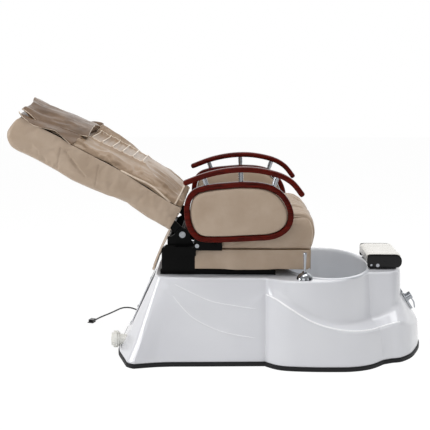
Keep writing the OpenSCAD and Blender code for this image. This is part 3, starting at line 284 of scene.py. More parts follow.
def round_line(
        name: str, points: np.ndarray, radius: float, closed: bool = False,
        sides: int = 3) -> bpy.types.Object:
    """Round bar, welt or lead along a line.

    Args:
        name: the piece's name.
        points: the line in millimetres.
        radius: the bar's radius in millimetres.
        closed: whether the line meets itself.
        sides: how finely the bar is rounded.

    Returns:
        A curve piece of one spline.
    """
    clear_selection()
    bpy.ops.curve.primitive_nurbs_path_add()
    piece = named(name)
    line = piece.data
    line.splines.clear()
    spline = line.splines.new("POLY")
    spline.points.add(len(points) - 1)
    for target, p in zip(spline.points, np.asarray(points, float) / 1000):
        target.co = (*p, 1)
    spline.use_cyclic_u = closed
    spline.use_smooth = True
    line.dimensions = "3D"
    line.bevel_depth = radius / 1000
    line.bevel_resolution = sides
    line.use_fill_caps = not closed
    return piece


def to_mesh(piece: bpy.types.Object) -> bpy.types.Object:
    """Turns a curve piece to a mesh one of the same name."""
    pick(piece)
    name = piece.name
    bpy.ops.object.convert(target="MESH")
    return named(name)


COATED_FABRIC = {
    "quality": 6, "tension_stiffness": 25, "compression_stiffness": 25, "shear_stiffness": 12,
    "bending_stiffness": 1.5}


def swell(piece: bpy.types.Object, pressure: float, cap: float, held: Callable[[Vector], bool],
          frames: int = 16, spare: float = 0.02, mass: float = 0.3) -> None:
    """Blows a fabric skin up like stuffing would and lets it wrinkle.

    Args:
        piece: the closed or open skin.
        pressure: how hard the stuffing presses.
        cap: farthest that a point may move, in millimetres.
        held: says which points, in metres, are sewn down.
        frames: steps of the simulation.
        spare: share by which the fabric is larger than the form under it.
        mass: mass of one point.
    """
    pick(piece)
    group = piece.vertex_groups.new(name="sewn")
    group.add([v.index for v in piece.data.vertices if held(v.co)], 1.0, "REPLACE")
    before = points_of(piece)
    cloth = piece.modifiers.new("Cloth", "CLOTH")
    cloth.settings.use_pressure = pressure > 0
    cloth.settings.uniform_pressure_force = pressure
    cloth.settings.vertex_group_mass = "sewn"
    cloth.settings.mass = mass
    cloth.settings.shrink_min = -spare
    for key, value in COATED_FABRIC.items():
        setattr(cloth.settings, key, value)
    cloth.settings.effector_weights.gravity = 0
    cloth.collision_settings.use_collision = False
    cloth.point_cache.frame_start, cloth.point_cache.frame_end = 1, frames
    scene = bpy.context.scene
    for step in range(1, frames + 1):
        scene.frame_set(step)
    shaped = piece.evaluated_get(bpy.context.evaluated_depsgraph_get())
    after = points_of(shaped)
    piece.modifiers.remove(cloth)
    scene.frame_set(1)
    move = after - before
    far = np.linalg.norm(move, axis=1)
    limit = cap / 1000
    move *= (limit * np.tanh(far / limit) / np.maximum(far, 1e-9))[:, None]
    set_points(piece, before + move)
    piece.vertex_groups.remove(group)


# ---------------------------------------------------------------------------------------------
# Finishes
# ---------------------------------------------------------------------------------------------
def combined(tree: bpy.types.NodeTree, how: str, first: bpy.types.NodeSocket,
             second: bpy.types.NodeSocket | float) -> bpy.types.NodeSocket:
    """Output of a calculation with two sockets, or with a socket and a number."""
    if isinstance(second, float):
        return add_node(
            tree, "ShaderNodeMath", {"operation": how, 1: second}, {0: first}).outputs[0]
    return add_node(tree, "ShaderNodeMath", {"operation": how}, {0: first, 1: second}).outputs[0]


def hex_linear(code: str) -> tuple[float, float, float, float]:
    """Linear colour of an sRGB hex code such as "B3A08C"."""
    parts = [int(code[i:i + 2], 16) / 255 for i in (0, 2, 4)]
    return (*[c / 12.92 if c <= 0.04045 else ((c + 0.055) / 1.055) ** 2.4 for c in parts], 1.0)


def emptied(owner: bpy.types.Material | bpy.types.World) -> bpy.types.NodeTree:
    """The node tree of a material or a world, with nothing in it."""
    owner.use_nodes = True
    owner.node_tree.nodes.clear()
    return owner.node_tree


def add_node(tree: bpy.types.NodeTree, kind: str, settings: dict | None = None,
             links: dict | None = None) -> bpy.types.Node:
    """Adds a node with its settings and links.

    Args:
        tree: the node tree.
        kind: the node's type.
        settings: properties, or inputs by name or place, and their values.
        links: inputs by name or place, and the outputs that feed them.

    Returns:
        The node.
    """
    node = tree.nodes.new(kind)
    for key, value in (settings or {}).items():
        if isinstance(key, int) or (key in node.inputs and not hasattr(type(node), key)):
            node.inputs[key].default_value = value
        else:
            setattr(node, key, value)
    for key, source in (links or {}).items():
        tree.links.new(source, node.inputs[key])
    return node


@dataclass(frozen=True)
class Finish:
    """A surface: its colours, how glossy it is, and the pattern in it."""

    name: str
    slot: str
    colour: str
    shade: str
    roughness: float
    patch_mm: float = 120.0
    grain_mm: float = 2.0
    relief_mm: float = 0.05
    metallic: float = 0.0
    coat: float = 0.0
    coat_roughness: float = 0.05
    ior: float = 1.5
    sheen: float = 0.0
    specular: float = 0.5

    def material(self) -> bpy.types.Material:
        """The finish's material, made on first use."""
        found = bpy.data.materials.get(self.name)
        if found is not None:
            return found
        made = bpy.data.materials.new(self.name)
        tree = emptied(made)
        place = add_node(tree, "ShaderNodeTexCoord").outputs["Object"]
        out = add_node(tree, "ShaderNodeOutputMaterial")
        colour, rough, height = self.pattern(tree, place)
        bump = add_node(
            tree, "ShaderNodeBump", {"Strength": 1.0, "Distance": self.relief_mm / 1000},
            {"Height": height})
        shader = add_node(
            tree, "ShaderNodeBsdfPrincipled",
            {
                "Metallic": self.metallic, "IOR": self.ior, "Coat Weight": self.coat,
                "Coat Roughness": self.coat_roughness, "Sheen Weight": self.sheen,
                "Sheen Roughness": 0.4, "Specular IOR Level": self.specular},
            {"Base Color": colour, "Roughness": rough, "Normal": bump.outputs[0]})
        tree.links.new(shader.outputs[0], out.inputs[0])
        return made

    def pattern(self, tree: bpy.types.NodeTree, place: bpy.types.NodeSocket) -> tuple:
        """Colour, roughness and height outputs: broad patches and a fine even grain."""
        broad = self.noise(tree, place, self.patch_mm, Detail=3.0)
        fine = self.noise(tree, place, self.grain_mm, Detail=4.0)
        return self.made_of(tree, broad, fine, fine)

    def made_of(self, tree: bpy.types.NodeTree, colour: bpy.types.Node, gloss: bpy.types.Node,
                height: bpy.types.Node) -> tuple:
        """Colour, roughness and height outputs from the nodes that vary them."""
        return (self.blended(tree, colour.outputs[0]), self.spread(tree, gloss.outputs[0]),
                height.outputs[0])

    def noise(self, tree: bpy.types.NodeTree, place: bpy.types.NodeSocket, size_mm: float,
              **settings: float) -> bpy.types.Node:
        """Noise of one size."""
        return add_node(
            tree, "ShaderNodeTexNoise", {"Scale": 1000 / size_mm, **settings}, {"Vector": place})

    def blended(
            self, tree: bpy.types.NodeTree, share: bpy.types.NodeSocket) -> bpy.types.NodeSocket:
        """Colour that runs between the finish's two colours."""
        steep = add_node(
            tree, "ShaderNodeMapRange", {"From Min": 0.35, "From Max": 0.65}, {"Value": share})
        mixed = add_node(tree, "ShaderNodeMix", {"data_type": "RGBA", 6: hex_linear(self.shade),
                                                 7: hex_linear(self.colour)}, {0: steep.outputs[0]})
        return mixed.outputs[2]

    def spread(self, tree: bpy.types.NodeTree, share: bpy.types.NodeSocket) -> bpy.types.NodeSocket:
        """Roughness that varies a little round the finish's own."""
        around = add_node(tree, "ShaderNodeMapRange", {
            "From Min": 0.3, "From Max": 0.7, "To Min": self.roughness * 0.85,
            "To Max": min(1.0, self.roughness * 1.15)}, {"Value": share})
        return around.outputs[0]

    def dress(self, *pieces: bpy.types.Object) -> None:
        """Gives pieces this finish."""
        for piece in pieces:
            piece.data.materials.clear()
            piece.data.materials.append(self.material())


@dataclass(frozen=True)
class Upholstery(Finish):
    """Coated fabric embossed with a pebbled leather grain."""

    def pattern(self, tree: bpy.types.NodeTree, place: bpy.types.NodeSocket) -> tuple:
        """Pebbles with soft valleys, over broad worn and clean patches."""
        broad = self.noise(tree, place, self.patch_mm, Detail=5.0, Roughness=0.6)
        # The real pebbles are about 1 mm; they are drawn coarser, so that they show at all
        cells = add_node(
            tree, "ShaderNodeTexVoronoi",
            {"feature": "SMOOTH_F1", "Scale": 1000 / self.grain_mm, "Smoothness": 0.4},
            {"Vector": place})
        fold = self.noise(tree, place, self.grain_mm * 9, Detail=4.0, Distortion=1.2)
        height = add_node(tree, "ShaderNodeMath", {"operation": "MULTIPLY_ADD", 1: -0.5},
                          {0: cells.outputs["Distance"], 2: fold.outputs[0]})
        return self.made_of(tree, broad, fold, height)


@dataclass(frozen=True)
class LacqueredWood(Finish):
    """Stained wood under a thick clear lacquer, with its grain along the bar."""

    def pattern(self, tree: bpy.types.NodeTree, place: bpy.types.NodeSocket) -> tuple:
        """Long grain lines, wavy along X, under the lacquer."""
        turned = add_node(tree, "ShaderNodeMapping", {"Scale": (1.0, 9.0, 9.0)}, {"Vector": place})
        grain = add_node(
            tree, "ShaderNodeTexNoise",
            {"Scale": 100 / self.grain_mm, "Detail": 8.0, "Roughness": 0.65, "Distortion": 0.8},
            {"Vector": turned.outputs[0]})
        fine = self.noise(tree, place, 18, Detail=2.0)
        return self.made_of(tree, grain, grain, fine)


@dataclass(frozen=True)
class BrushedMetal(Finish):
    """Metal with fine lines from a brush."""

    def pattern(self, tree: bpy.types.NodeTree, place: bpy.types.NodeSocket) -> tuple:
        """Lines across the sheet's length."""
        drawn = add_node(tree, "ShaderNodeMapping", {"Scale": (1.0, 14.0, 1.0)}, {"Vector": place})
        lines = add_node(tree, "ShaderNodeTexNoise", {"Scale": 300 / self.grain_mm, "Detail": 3.0},
                         {"Vector": drawn.outputs[0]})
        return self.made_of(tree, lines, lines, lines)


def settle(piece: bpy.types.Object, body: str, finish: Finish, *solids: str) -> None:
    """Lets a piece ride on a body in the place of its solids, if it has any, and dresses it."""
    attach(piece, body)
    if solids:
        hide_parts(*solids)
    finish.dress(piece)


# Coated upholstery vinyl, knife coated and embossed: soft broad highlights on a fine pebble
TAUPE_VINYL = Upholstery(
    "pvc_leather_taupe", "taupe_vinyl", "AD9A87", "A08C78", 0.44, patch_mm=160, grain_mm=2.6,
    relief_mm=0.22, sheen=0.08)
# The same vinyl on the pad, coloured a shade browner and darker: painted shade on its upward face
TAUPE_PAD_PAINTED_SHADE = Upholstery(
    "pvc_leather_pad_painted_shade", "taupe_vinyl", "99836D", "846E58", 0.38, patch_mm=140, grain_mm=2.6,
    relief_mm=0.25, sheen=0.04, specular=0.4)
# Unpadded vinyl of the flap, coloured browner and darker: painted shade on its upward-facing top
TAUPE_FLAP_PAINTED_SHADE = Upholstery(
    "pvc_leather_flap_painted_shade", "taupe_vinyl", "6E5640", "57422F", 0.38, patch_mm=90, grain_mm=2.6,
    relief_mm=0.3, sheen=0.03, specular=0.35)
# The same vinyl rolled round a cord, a little glossier; its lighter colour is a painted highlight
TAUPE_WELT = Upholstery(
    "pvc_leather_welt", "taupe_vinyl", "CDBCA9", "C0AE9B", 0.38, patch_mm=60, grain_mm=2.2,
    relief_mm=0.12, sheen=0.05)
# Cord welts of the massage panel, in a light cream colour
CREAM_WELT = Upholstery(
    "pvc_leather_cream", "taupe_vinyl", "E2D3C0", "D2C2AE", 0.36, patch_mm=60, grain_mm=2.2,
    relief_mm=0.1)
WHITE_VINYL = Upholstery(
    "pvc_leather_white", "white_vinyl", "D2CFC8", "C6C3BB", 0.26, patch_mm=90, grain_mm=2.6,
    relief_mm=0.12)
# Sprayed polyester gelcoat out of a waxed mould: clear deep gloss with a faint long waviness
GELCOAT = Finish(
    "polyester_gelcoat", "tub_gelcoat", "D6D7DB", "D0D1D6", 0.22, patch_mm=420, grain_mm=34,
    relief_mm=0.06, coat=0.35, coat_roughness=0.06)
# The raised lines of the mould, coloured brighter than the skin round them: painted highlight
GELCOAT_PAINTED_HIGHLIGHT = Finish(
    "polyester_gelcoat_painted_highlight", "tub_gelcoat", "F6F6F8", "F0F0F3", 0.14, patch_mm=420, grain_mm=34,
    relief_mm=0.03, coat=0.5, coat_roughness=0.05)
# A fainter painted highlight, coloured onto the beads of the sweeping bands
GELCOAT_FAINT_HIGHLIGHT = Finish(
    "polyester_gelcoat_faint_highlight", "tub_gelcoat", "E6E7EA", "E1E2E6", 0.16, patch_mm=420, grain_mm=34,
    relief_mm=0.03, coat=0.5, coat_roughness=0.05)
BATH_ACRYLIC = Finish(
    "cast_acrylic_bath", "bath_liner", "DFE1E5", "D8DBE0", 0.18, patch_mm=300, grain_mm=30,
    relief_mm=0.05, coat=0.3, coat_roughness=0.08)
# Beech stained to mahogany, under piano lacquer
MAHOGANY = LacqueredWood(
    "beech_stained_mahogany", "mahogany", "5C1106", "2F0602", 0.3, grain_mm=7, relief_mm=0.05,
    coat=0.04, coat_roughness=0.07, specular=0.06)
CHROME = Finish(
    "chrome_plate_polished", "polished_chrome", "A3A6AB", "95989D", 0.06, grain_mm=6,
    relief_mm=0.004, metallic=1.0)
POWDER_COAT = Finish(
    "powder_coated_steel", "black_steel", "060606", "030303", 0.42, grain_mm=1.6, relief_mm=0.06,
    specular=0.08)
DULL_STEEL = BrushedMetal(
    "zinc_plated_steel", "dull_steel", "A5A8AC", "8F9296", 0.33, grain_mm=2.5, relief_mm=0.02,
    metallic=1.0)
KICK_RUBBER = Finish(
    "extruded_rubber", "black_rubber", "141417", "0E0E10", 0.62, grain_mm=2.5, relief_mm=0.08,
    specular=0.3)
LEAD_PVC = Finish(
    "soft_pvc_lead", "black_rubber", "151515", "101010", 0.48, grain_mm=2.0, relief_mm=0.03)
WHITE_PVC = Finish(
    "moulded_pvc_white", "white_pvc", "E9E9E4", "DEDED8", 0.36, grain_mm=3.0, relief_mm=0.04)
GREY_ABS = Finish(
    "moulded_abs_grey", "grey_plastic", "3A3B3D", "323335", 0.5, grain_mm=1.8, relief_mm=0.08)
BLACK_ABS = Finish(
    "moulded_abs_black", "black_plastic", "0A0A0B", "060607", 0.24, grain_mm=4.0, relief_mm=0.03,
    coat=0.05, specular=0.25)
HOSE_RUBBER = Finish(
    "reinforced_hose", "hose_rubber", "8E9196", "7E8186", 0.5, grain_mm=2.2, relief_mm=0.08)
PLYWOOD = LacqueredWood(
    "birch_plywood", "plywood", "C8AC80", "B0905F", 0.6, grain_mm=12, relief_mm=0.05)


# ---------------------------------------------------------------------------------------------
# Studio and camera
# ---------------------------------------------------------------------------------------------
@dataclass
class Studio:
    """Pale floor, soft lamps and the camera."""

    eye: Point = (-165, -3950, 1292)
    turn: float = 0.025
    dip: float = 0.171
    lens: float = 72.3
    aim: Point = (0, 0, 0.5)
    lamps: tuple = (
        ("key", (-1.3, -3.9, 2.1), (2.8, 2.0), 23), ("fill", (2.9, -2.4, 1.8), (1.8, 1.8), 7),
        ("top", (0.2, -0.4, 3.4), (3.0, 1.3), 54), ("rear", (-3.6, -0.9, 1.3), (1.2, 1.2), 40))
    cards: tuple = ((-3.6, -1.6, 2.6), (1.2, -5.2, 1.2), (3.6, -0.8, 2.8), (-2.3, -4.6, 0.9))

    def build(self) -> None:
        """Makes the camera, the lamps, the world and the floor."""
        self.camera()
        for lamp in self.lamps:
            self.lamp(*lamp)
        self.world()
        self.floor()
        for i, (x, y, w) in enumerate(self.cards):
            self.card(f"card_{i}", x, y, w)

    def camera(self) -> None:
        """Puts the camera at its place, upright and without shift."""
        clear_selection()
        bpy.ops.object.camera_add(
            location=Vector(self.eye) / 1000, rotation=(math.pi / 2 - self.dip, 0, self.turn))
        camera = bpy.context.object
        camera.data.sensor_width = 36
        camera.data.lens = self.lens
        camera.data.clip_end = 60
        bpy.context.scene.camera = camera

    def lamp(self, name: str, place: Point, size: Flat, watts: float) -> None:
        """Adds a soft rectangular lamp aimed at the seat."""
        clear_selection()
        bpy.ops.object.light_add(type="AREA", location=place)
        lamp = bpy.context.object
        lamp.name = name
        lamp.data.shape = "RECTANGLE"
        lamp.data.size, lamp.data.size_y = size
        lamp.data.energy = watts
        lamp.rotation_euler = (Vector(self.aim) - Vector(place)).to_track_quat("-Z", "Y").to_euler()

    def world(self) -> None:
        """White all round for the camera and for reflections, softer for the light it gives."""
        world = bpy.data.worlds.new("studio_world")
        bpy.context.scene.world = world
        tree = emptied(world)
        seen = add_node(tree, "ShaderNodeLightPath")
        direct = combined(
            tree, "MAXIMUM", seen.outputs["Is Camera Ray"], seen.outputs["Is Transmission Ray"])
        # The dome is dimmer overhead than at the sides. What shines mirrors a bright backdrop
        # behind the chair.
        up = add_node(
            tree, "ShaderNodeSeparateXYZ",
            links={0: add_node(tree, "ShaderNodeTexCoord").outputs["Generated"]})
        dome = add_node(
            tree, "ShaderNodeMapRange",
            {"From Min": 0.1, "From Max": 0.9, "To Min": 0.52, "To Max": 0.46},
            {"Value": up.outputs["Z"]})
        behind = add_node(
            tree, "ShaderNodeMapRange",
            {"From Min": 0.2, "From Max": 0.9, "To Min": 0.5, "To Max": 1.5},
            {"Value": up.outputs["Y"]})
        shiny = combined(tree, "MULTIPLY", behind.outputs[0], seen.outputs["Is Glossy Ray"])
        around = combined(tree, "MAXIMUM", dome.outputs[0], shiny)
        strength = add_node(
            tree, "ShaderNodeMapRange", {"To Max": 1.0}, {"Value": direct, 3: around})
        light = add_node(
            tree, "ShaderNodeBackground", {"Color": (1, 1, 1, 1)},
            {"Strength": strength.outputs[0]})
        add_node(tree, "ShaderNodeOutputWorld", links={0: light.outputs[0]})

    def floor(self) -> None:
        """Adds a white floor that keeps a faint shadow."""
        clear_selection()
        bpy.ops.mesh.primitive_grid_add(
            x_subdivisions=4, y_subdivisions=4, size=24, location=(0, 0, -0.0005))
        floor = named("floor")
        made = bpy.data.materials.new("white_floor")
        tree = emptied(made)
        seen = add_node(tree, "ShaderNodeLightPath")
        direct = combined(
            tree, "MAXIMUM", seen.outputs["Is Camera Ray"], seen.outputs["Is Glossy Ray"])
        both = combined(tree, "MAXIMUM", direct, seen.outputs["Is Transmission Ray"])
        share = combined(tree, "MULTIPLY", both, 0.88)
        paint = add_node(tree, "ShaderNodeBsdfDiffuse", {"Color": (0.9, 0.9, 0.9, 1)})
        glow = add_node(tree, "ShaderNodeEmission", {"Color": (1, 1, 1, 1), "Strength": 1.06})
        mixed = add_node(tree, "ShaderNodeMixShader", links={0: share, 1: paint.outputs[0],
                                                             2: glow.outputs[0]})
        add_node(tree, "ShaderNodeOutputMaterial", links={0: mixed.outputs[0]})
        floor.data.materials.append(made)

    def card(self, name: str, x: float, y: float, width: float) -> None:
        """Adds a tall dark card that only shows in polished surfaces."""
        clear_selection()
        bpy.ops.mesh.primitive_grid_add(
            x_subdivisions=2, y_subdivisions=2, size=1, location=(x, y, 1.3))
        card = named(name)
        card.scale = (width, 2.6, 1)
        card.rotation_euler = Vector((-x, -y, 0)).to_track_quat("Z", "Y").to_euler()
        made = bpy.data.materials.get("black_card") or bpy.data.materials.new("black_card")
        made.use_nodes = True
        made.node_tree.nodes["Principled BSDF"].inputs["Base Color"].default_value = (
            0.02, 0.02, 0.02, 1)
        card.data.materials.append(made)
        card.visible_camera = card.visible_diffuse = card.visible_shadow = False


# ---------------------------------------------------------------------------------------------
# Mains lead
# ---------------------------------------------------------------------------------------------
@dataclass
class MainsLead:
    """The lead from the gland through its stowed coil to the plug."""

    radius: float = 3.75
    turns: int = 4
    centre: Flat = (-430, 560)
    coil_radius: float = 49
    spare_gap: float = 0.9

    def leaving(self) -> list[Point]:
        """Points from the gland to the coil."""
        r = self.radius
        return [
            (-560, 415, 60), (-560, 425, 60), (-560, 440, 58), (-561, 458, 50), (-562, 475, 39),
            (-562, 492, 28), (-562, 510, 19), (-561, 528, 11), (-558, 546, 6), (-552, 564, 4),
            (-541, 581, r), (-525, 595, r), (-506, 604, r), (-484, 608, r), (-462, 609, r),
            (-437.5, 609, r)]

    def coiled(self) -> list[Point]:
        """Points of the coil, in two layers."""
        pitch = 2 * self.radius + self.spare_gap
        span = self.turns + 0.5
        half = span / 2
        per_turn = 24
        points = []
        for i in range(1, int(span * per_turn)):
            t = i / per_turn
            r = self.coil_radius - pitch * (half - abs(t - half))
            a = math.radians(90 - 360 * t)
            climb = min(1, max(0, (t - half + 0.25) / 0.5))
            points.append((self.centre[0] + r * math.cos(a), self.centre[1] + r * math.sin(a),
                           self.radius + pitch * climb))
        return points

    def ending(self) -> list[Point]:
        """Points from the coil to the plug."""
        r = self.radius
        return [
            (-437.5, 511, 12.15), (-452, 511, 12), (-470, 510, 9.5), (-490, 508, 6), (-512, 504, r),
            (-536, 499, r), (-562, 492, r), (-590, 486, r), (-618, 483, r), (-646, 486, r),
            (-672, 496, r), (-694, 512, r), (-712, 532, r), (-730, 550, r), (-750, 558, r),
            (-770, 554, r), (-786, 538, r), (-799, 512, r), (-811, 484, r), (-824, 456, r),
            (-838, 428, r), (-854, 400, r), (-868, 372, r), (-880, 344, r), (-890, 316, r)]

    def build(self) -> None:
        path = np.array([*self.leaving(), *self.coiled(), *self.ending()], float)
        smooth = evenly(path, 330)
        lead = to_mesh(round_line("mains_lead", smooth, self.radius, sides=3))
        settle(lead, "base", LEAD_PVC, "power_cord", "cord_coil")


# ---------------------------------------------------------------------------------------------
# Base
# ---------------------------------------------------------------------------------------------
@dataclass
class MouldedBase:
    """The moulded base, the bath that hangs in its deck and the strip round its foot."""

    rear: float = 700
    nose: float = 693
    waist: float = 345
    lobe: float = 406
    deck: float = 385
    wall: float = 5
    kick: float = 20
    kick_wall: float = 5
    rear_slope: float = 172
    waist_x: float = -37
    edge: float = 9
    steps: int = 13
    bath: Flat = (245, 0)
    bath_half: Flat = (195, 310)
    bath_floor: float = 135
    waste_hole: float = 24.3
    jet_hole: float = 17.3
    jet_turns: tuple[float, ...] = (-122, -90, -58)
    lead_hole: float = 9.3
    mixer_hole: float = 20.3
    dome_hole: float = 12.3
    sweeps: tuple = (((-458, -357, -268, -150, -50), (369, 319, 283, 262, 251)),
                     ((-458, -366, -268, -179, -50), (328, 223, 168, 141, 121)))

    def stations(self) -> list[tuple]:
        """Stations of one side: deck and floor point, share and drop of the two shoulders."""
        mid, top = 1 - 120 / self.deck, 1 - 170 / self.deck
        low, high = self.deck - 120, self.deck - 170
        d, r, n, w, b = self.rear_slope - self.rear, self.rear, self.nose, self.waist, self.lobe
        return [
            ((d, 0), (-r, 0), top, mid, high, low),
            ((d + 4, -240), (4 - r, -196), top, mid, high, low),
            ((d + 23, -285), (72 - r, -w - 47), top, mid, high, low),
            ((d + 88, -298), (211 - r, -w - 12), top, mid, high, low),
            ((-250, -302), (-250, -w - 3), top, mid, high, low),
            ((self.waist_x, -305), (self.waist_x, -w + 6), 0.10, 0.30, 40, 70),
            ((0, -325), (10, -b + 26), 0.15, 0.55, 45, 80),
            ((60, -352), (60, -b + 8), 0.2, 0.75, 85, 110),
            ((155, -364), (154, -b), 0.2, 0.8, 145, 166),
            ((241, -352), (250, -b), 0.2, 0.8, 180, 199),
            ((322, -308), (338, -b + 7), 0.2, 0.8, 197, 215),
            ((390, -240), (418, -b + 40), 0.2, 0.8, 205, 223),
            ((425, -190), (482, 1.5 * b - 914), 0.2, 0.78, 207, 227),
            ((470, -185), (520, -285), 0.2, 0.8, 195, 219),
            ((540, -165), (575, -262), 0.2, 0.84, 160, 212),
            ((578, -110), (n - 53, -175), 0.08, 0.9, 125, 245),
            ((590, 0), (n, 0), 0.03, 0.93, 115, 260)]

    def level(self, station: tuple, k: int) -> np.ndarray:
        """Point k of a station: 0 deck, 1 and 2 shoulders, 3 top of the foot, 4 floor."""
        top, low = np.array(station[0], float), np.array(station[1], float)
        if k == 0:
            return np.array([*top, self.deck])
        if k in (1, 2):
            share = station[1 + k]
            return np.array([*(top + (low - top) * share), self.deck - station[3 + k]])
        return np.array([*low, self.kick + 4 if k == 3 else 0.0])

    def outline(self, k: int) -> np.ndarray:
        """Closed line of one level round the base."""
        stations = self.stations()
        p = [self.level(s, k) for s in stations]
        last = len(p) - 1
        half = []
        for i in range(last):
            # Straight as far as station 5, the waist; the curve starts anew there and at station 12
            start = p[i] if i <= 5 or i == 12 else p[i - 1]
            after = p[i + 1] if i + 1 <= 5 or i + 1 == 12 else (
                p[last - 1] * (1, -1, 1) if i + 1 == last else p[i + 2])
            for s in range(self.steps):
                t = s / self.steps
                half.append(
                    p[i] + (p[i + 1] - p[i]) * t if i < 5
                    else knot(start, p[i], p[i + 1], after, t))
        half = self.eased(np.array(half))
        return np.vstack([half, p[last][None], half[:0:-1] * (1, -1, 1)])

    def eased(self, half: np.ndarray) -> np.ndarray:
        """Rounds the upright corners of the rear, which stand on stations 1 to 3."""
        full = np.vstack([half[:0:-1] * (1, -1, 1), half])
        first = len(half) - 1
        out = full.copy()
        for station, reach in ((1, 2), (2, 3), (3, 4)):
            corner = station * self.steps
            for i in range(corner - 2 * reach, corner + 2 * reach + 1):
                span = max(0, reach - abs(i - corner) // 2)
                out[first + i] = full[first + i - span:first + i + span + 1].mean(0)
        return out[first:]

    def rings(self) -> np.ndarray:
        """Rings of the outer skin, from the floor over the deck edge to the mid-line."""
        level = [self.outline(k) for k in range(5)]
        rings = [level[4], level[4] * 0.5 + level[3] * 0.5]
        down, up = level[3], level[0] - (0, 0, self.edge)
        below = self.bend(level[2], down, level[1], 12)
        above = self.bend(level[1], level[2], up, 16)
        rings += self.between(down, below[0], 22) + below
        rings += self.between(below[-1], above[0], 5) + above
        rings += self.between(above[-1], up, 30)
        normal = outward(level[0][:, :2])
        for a in np.linspace(0, 90, 7):
            drawn = self.edge * (1 - math.cos(math.radians(a)))
            ring = level[0].copy()
            ring[:, :2] -= normal * drawn
            ring[:, 2] += self.edge * (math.sin(math.radians(a)) - 1)
            rings.append(ring)
        for share in (0.97, 0.9, 0.75, 0.5, 0.25, 0.0):
            rings.append(rings[-1] * (1, 0, 1) + ring * (0, share, 0))
        return self.embossed(np.array(rings))

    def bend(
            self, corner: np.ndarray, before: np.ndarray, after: np.ndarray,
            reach: float) -> list[np.ndarray]:
        """Rounds one shoulder, never past half of the stretch beside it."""
        lines = []
        for other in (before, after):
            way = other - corner
            long = np.linalg.norm(way, axis=1)[:, None]
            lines.append(corner + way * np.minimum(reach, long * 0.45) / np.maximum(long, 1e-6))
        return [
            lines[0] * (1 - t) ** 2 + 2 * corner * t * (1 - t) + lines[1] * t * t
            for t in np.linspace(0, 1, 9)]

    def between(self, a: np.ndarray, b: np.ndarray, count: int) -> list[np.ndarray]:
        """Rings from a on, short of b."""
        return [a + (b - a) * t for t in np.linspace(0, 1, count + 1)[:-1]]

    def embossed(self, rings: np.ndarray) -> np.ndarray:
        """Raises the two sweeping bands on each side of the rear body."""
        out = rings.copy()
        for k, ring in enumerate(rings):
            # The last six rings lie on the deck, within its edge
            if k >= len(rings) - 6:
                break
            normal = outward(ring[:, :2])
            for i, (x, y, z) in enumerate(ring):
                if not -505 < x < 0 or abs(y) < 200:
                    continue
                fade = ramp(x, -505, -440) * (1 - ramp(x, -75, -42))
                rise = -3.5 * math.exp(-((x - self.waist_x) / 8) ** 2)
                for xs, zs in self.sweeps:
                    over = z - float(np.interp(x, xs, zs))
                    rise += 2.6 * ramp(over, -9, 0) * (1 - ramp(over, 4, 62)) * fade
                out[k, i, :2] += normal[i] * rise
        return out

    def beads(self, shell: bpy.types.Object) -> None:
        """Lays a fine bead along each sweeping band and along the ledge of the front lobe."""
        ledge = self.outline(2)
        ledge = ledge[(ledge[:, 1] < -200) & (ledge[:, 0] > self.waist_x + 4) & (ledge[:, 0] < 560)]
        lines = [(np.array(xs, float), np.array(zs, float)) for xs, zs in self.sweeps]
        lines.append((ledge[:, 0], ledge[:, 2] + 1.0))
        for side, hand in SIDES:
            for k, (xs, zs) in enumerate(lines):
                run = open_curve(np.stack([xs, zs], 1), 12) if k < 2 else np.stack([xs, zs], 1)
                run = evenly(run, 150)
                start = np.stack([run[:, 0], np.full(150, side * 520.0), run[:, 1]], 1)
                line = laid_on(shell, start, (0, -side, 0), 0.0)
                share = np.linspace(0, 1, len(line))
                sunk = 2.2 + 2.2 * (unit(1 - share / 0.12) + unit(1 - (1 - share) / 0.12))
                line[:, 1] -= side * sunk
                bead = to_mesh(round_line(f"bead_{hand}_{k}", line, 3.3 if k < 2 else 4.2, sides=3))
                # The beads' lighter finishes are painted highlights along their crests
                settle(bead, "base", GELCOAT_FAINT_HIGHLIGHT if k < 2 else GELCOAT_PAINTED_HIGHLIGHT)

    def build(self) -> None:
        """Builds the shell, the bath and the kick strip."""
        self.shell()
        self.basin()
        self.strip()
        GELCOAT.dress(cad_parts["service_panel"])
        CHROME.dress(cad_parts["panel_screws"])
        POWDER_COAT.dress(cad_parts["floor_frame"])
        log.info("moulded base")

    def shell(self) -> None:
        """Builds the moulded shell with its wall and openings."""
        rings = self.rings()
        rows, columns = len(rings) - 1, rings.shape[1]
        closed = np.concatenate([rings, rings[:, :1]], 1)

        def place(u: np.ndarray, v: np.ndarray) -> np.ndarray:
            return closed[whole(v * rows), whole(u * columns)]

        shell = skin("moulded_shell", columns, rows, place)
        modify(shell, "SOLIDIFY", thickness=self.wall / 1000, offset=-1.0, use_even_offset=False)
        a, b = self.bath_half
        for cutter in (
                plug((self.bath[0], 0, self.deck), (0, 0, 1), (a + 5, b + 5), 24, 96),
                box_cutter((-420, -90, self.deck - 12), (-80, 90, self.deck + 8)),
                self.rear_cutter(),
                plug((-self.rear + 20, -180, 66), (1, 0, 0), self.waste_hole, 140, 48),
                plug((-560, self.waist, 60), (0, 1, 0), self.lead_hole, 120, 32),
                plug((612.9, 0, 220.0), (0.81, 0, 0.586), self.mixer_hole, 90, 40),
                plug((131, -314, self.deck), (0, 0, 1), self.dome_hole, 60, 32)):
            cut_away(shell, cutter)
        smooth_by_angle(shell, 38)
        settle(shell, "base", GELCOAT, "base_shell")
        self.beads(shell)

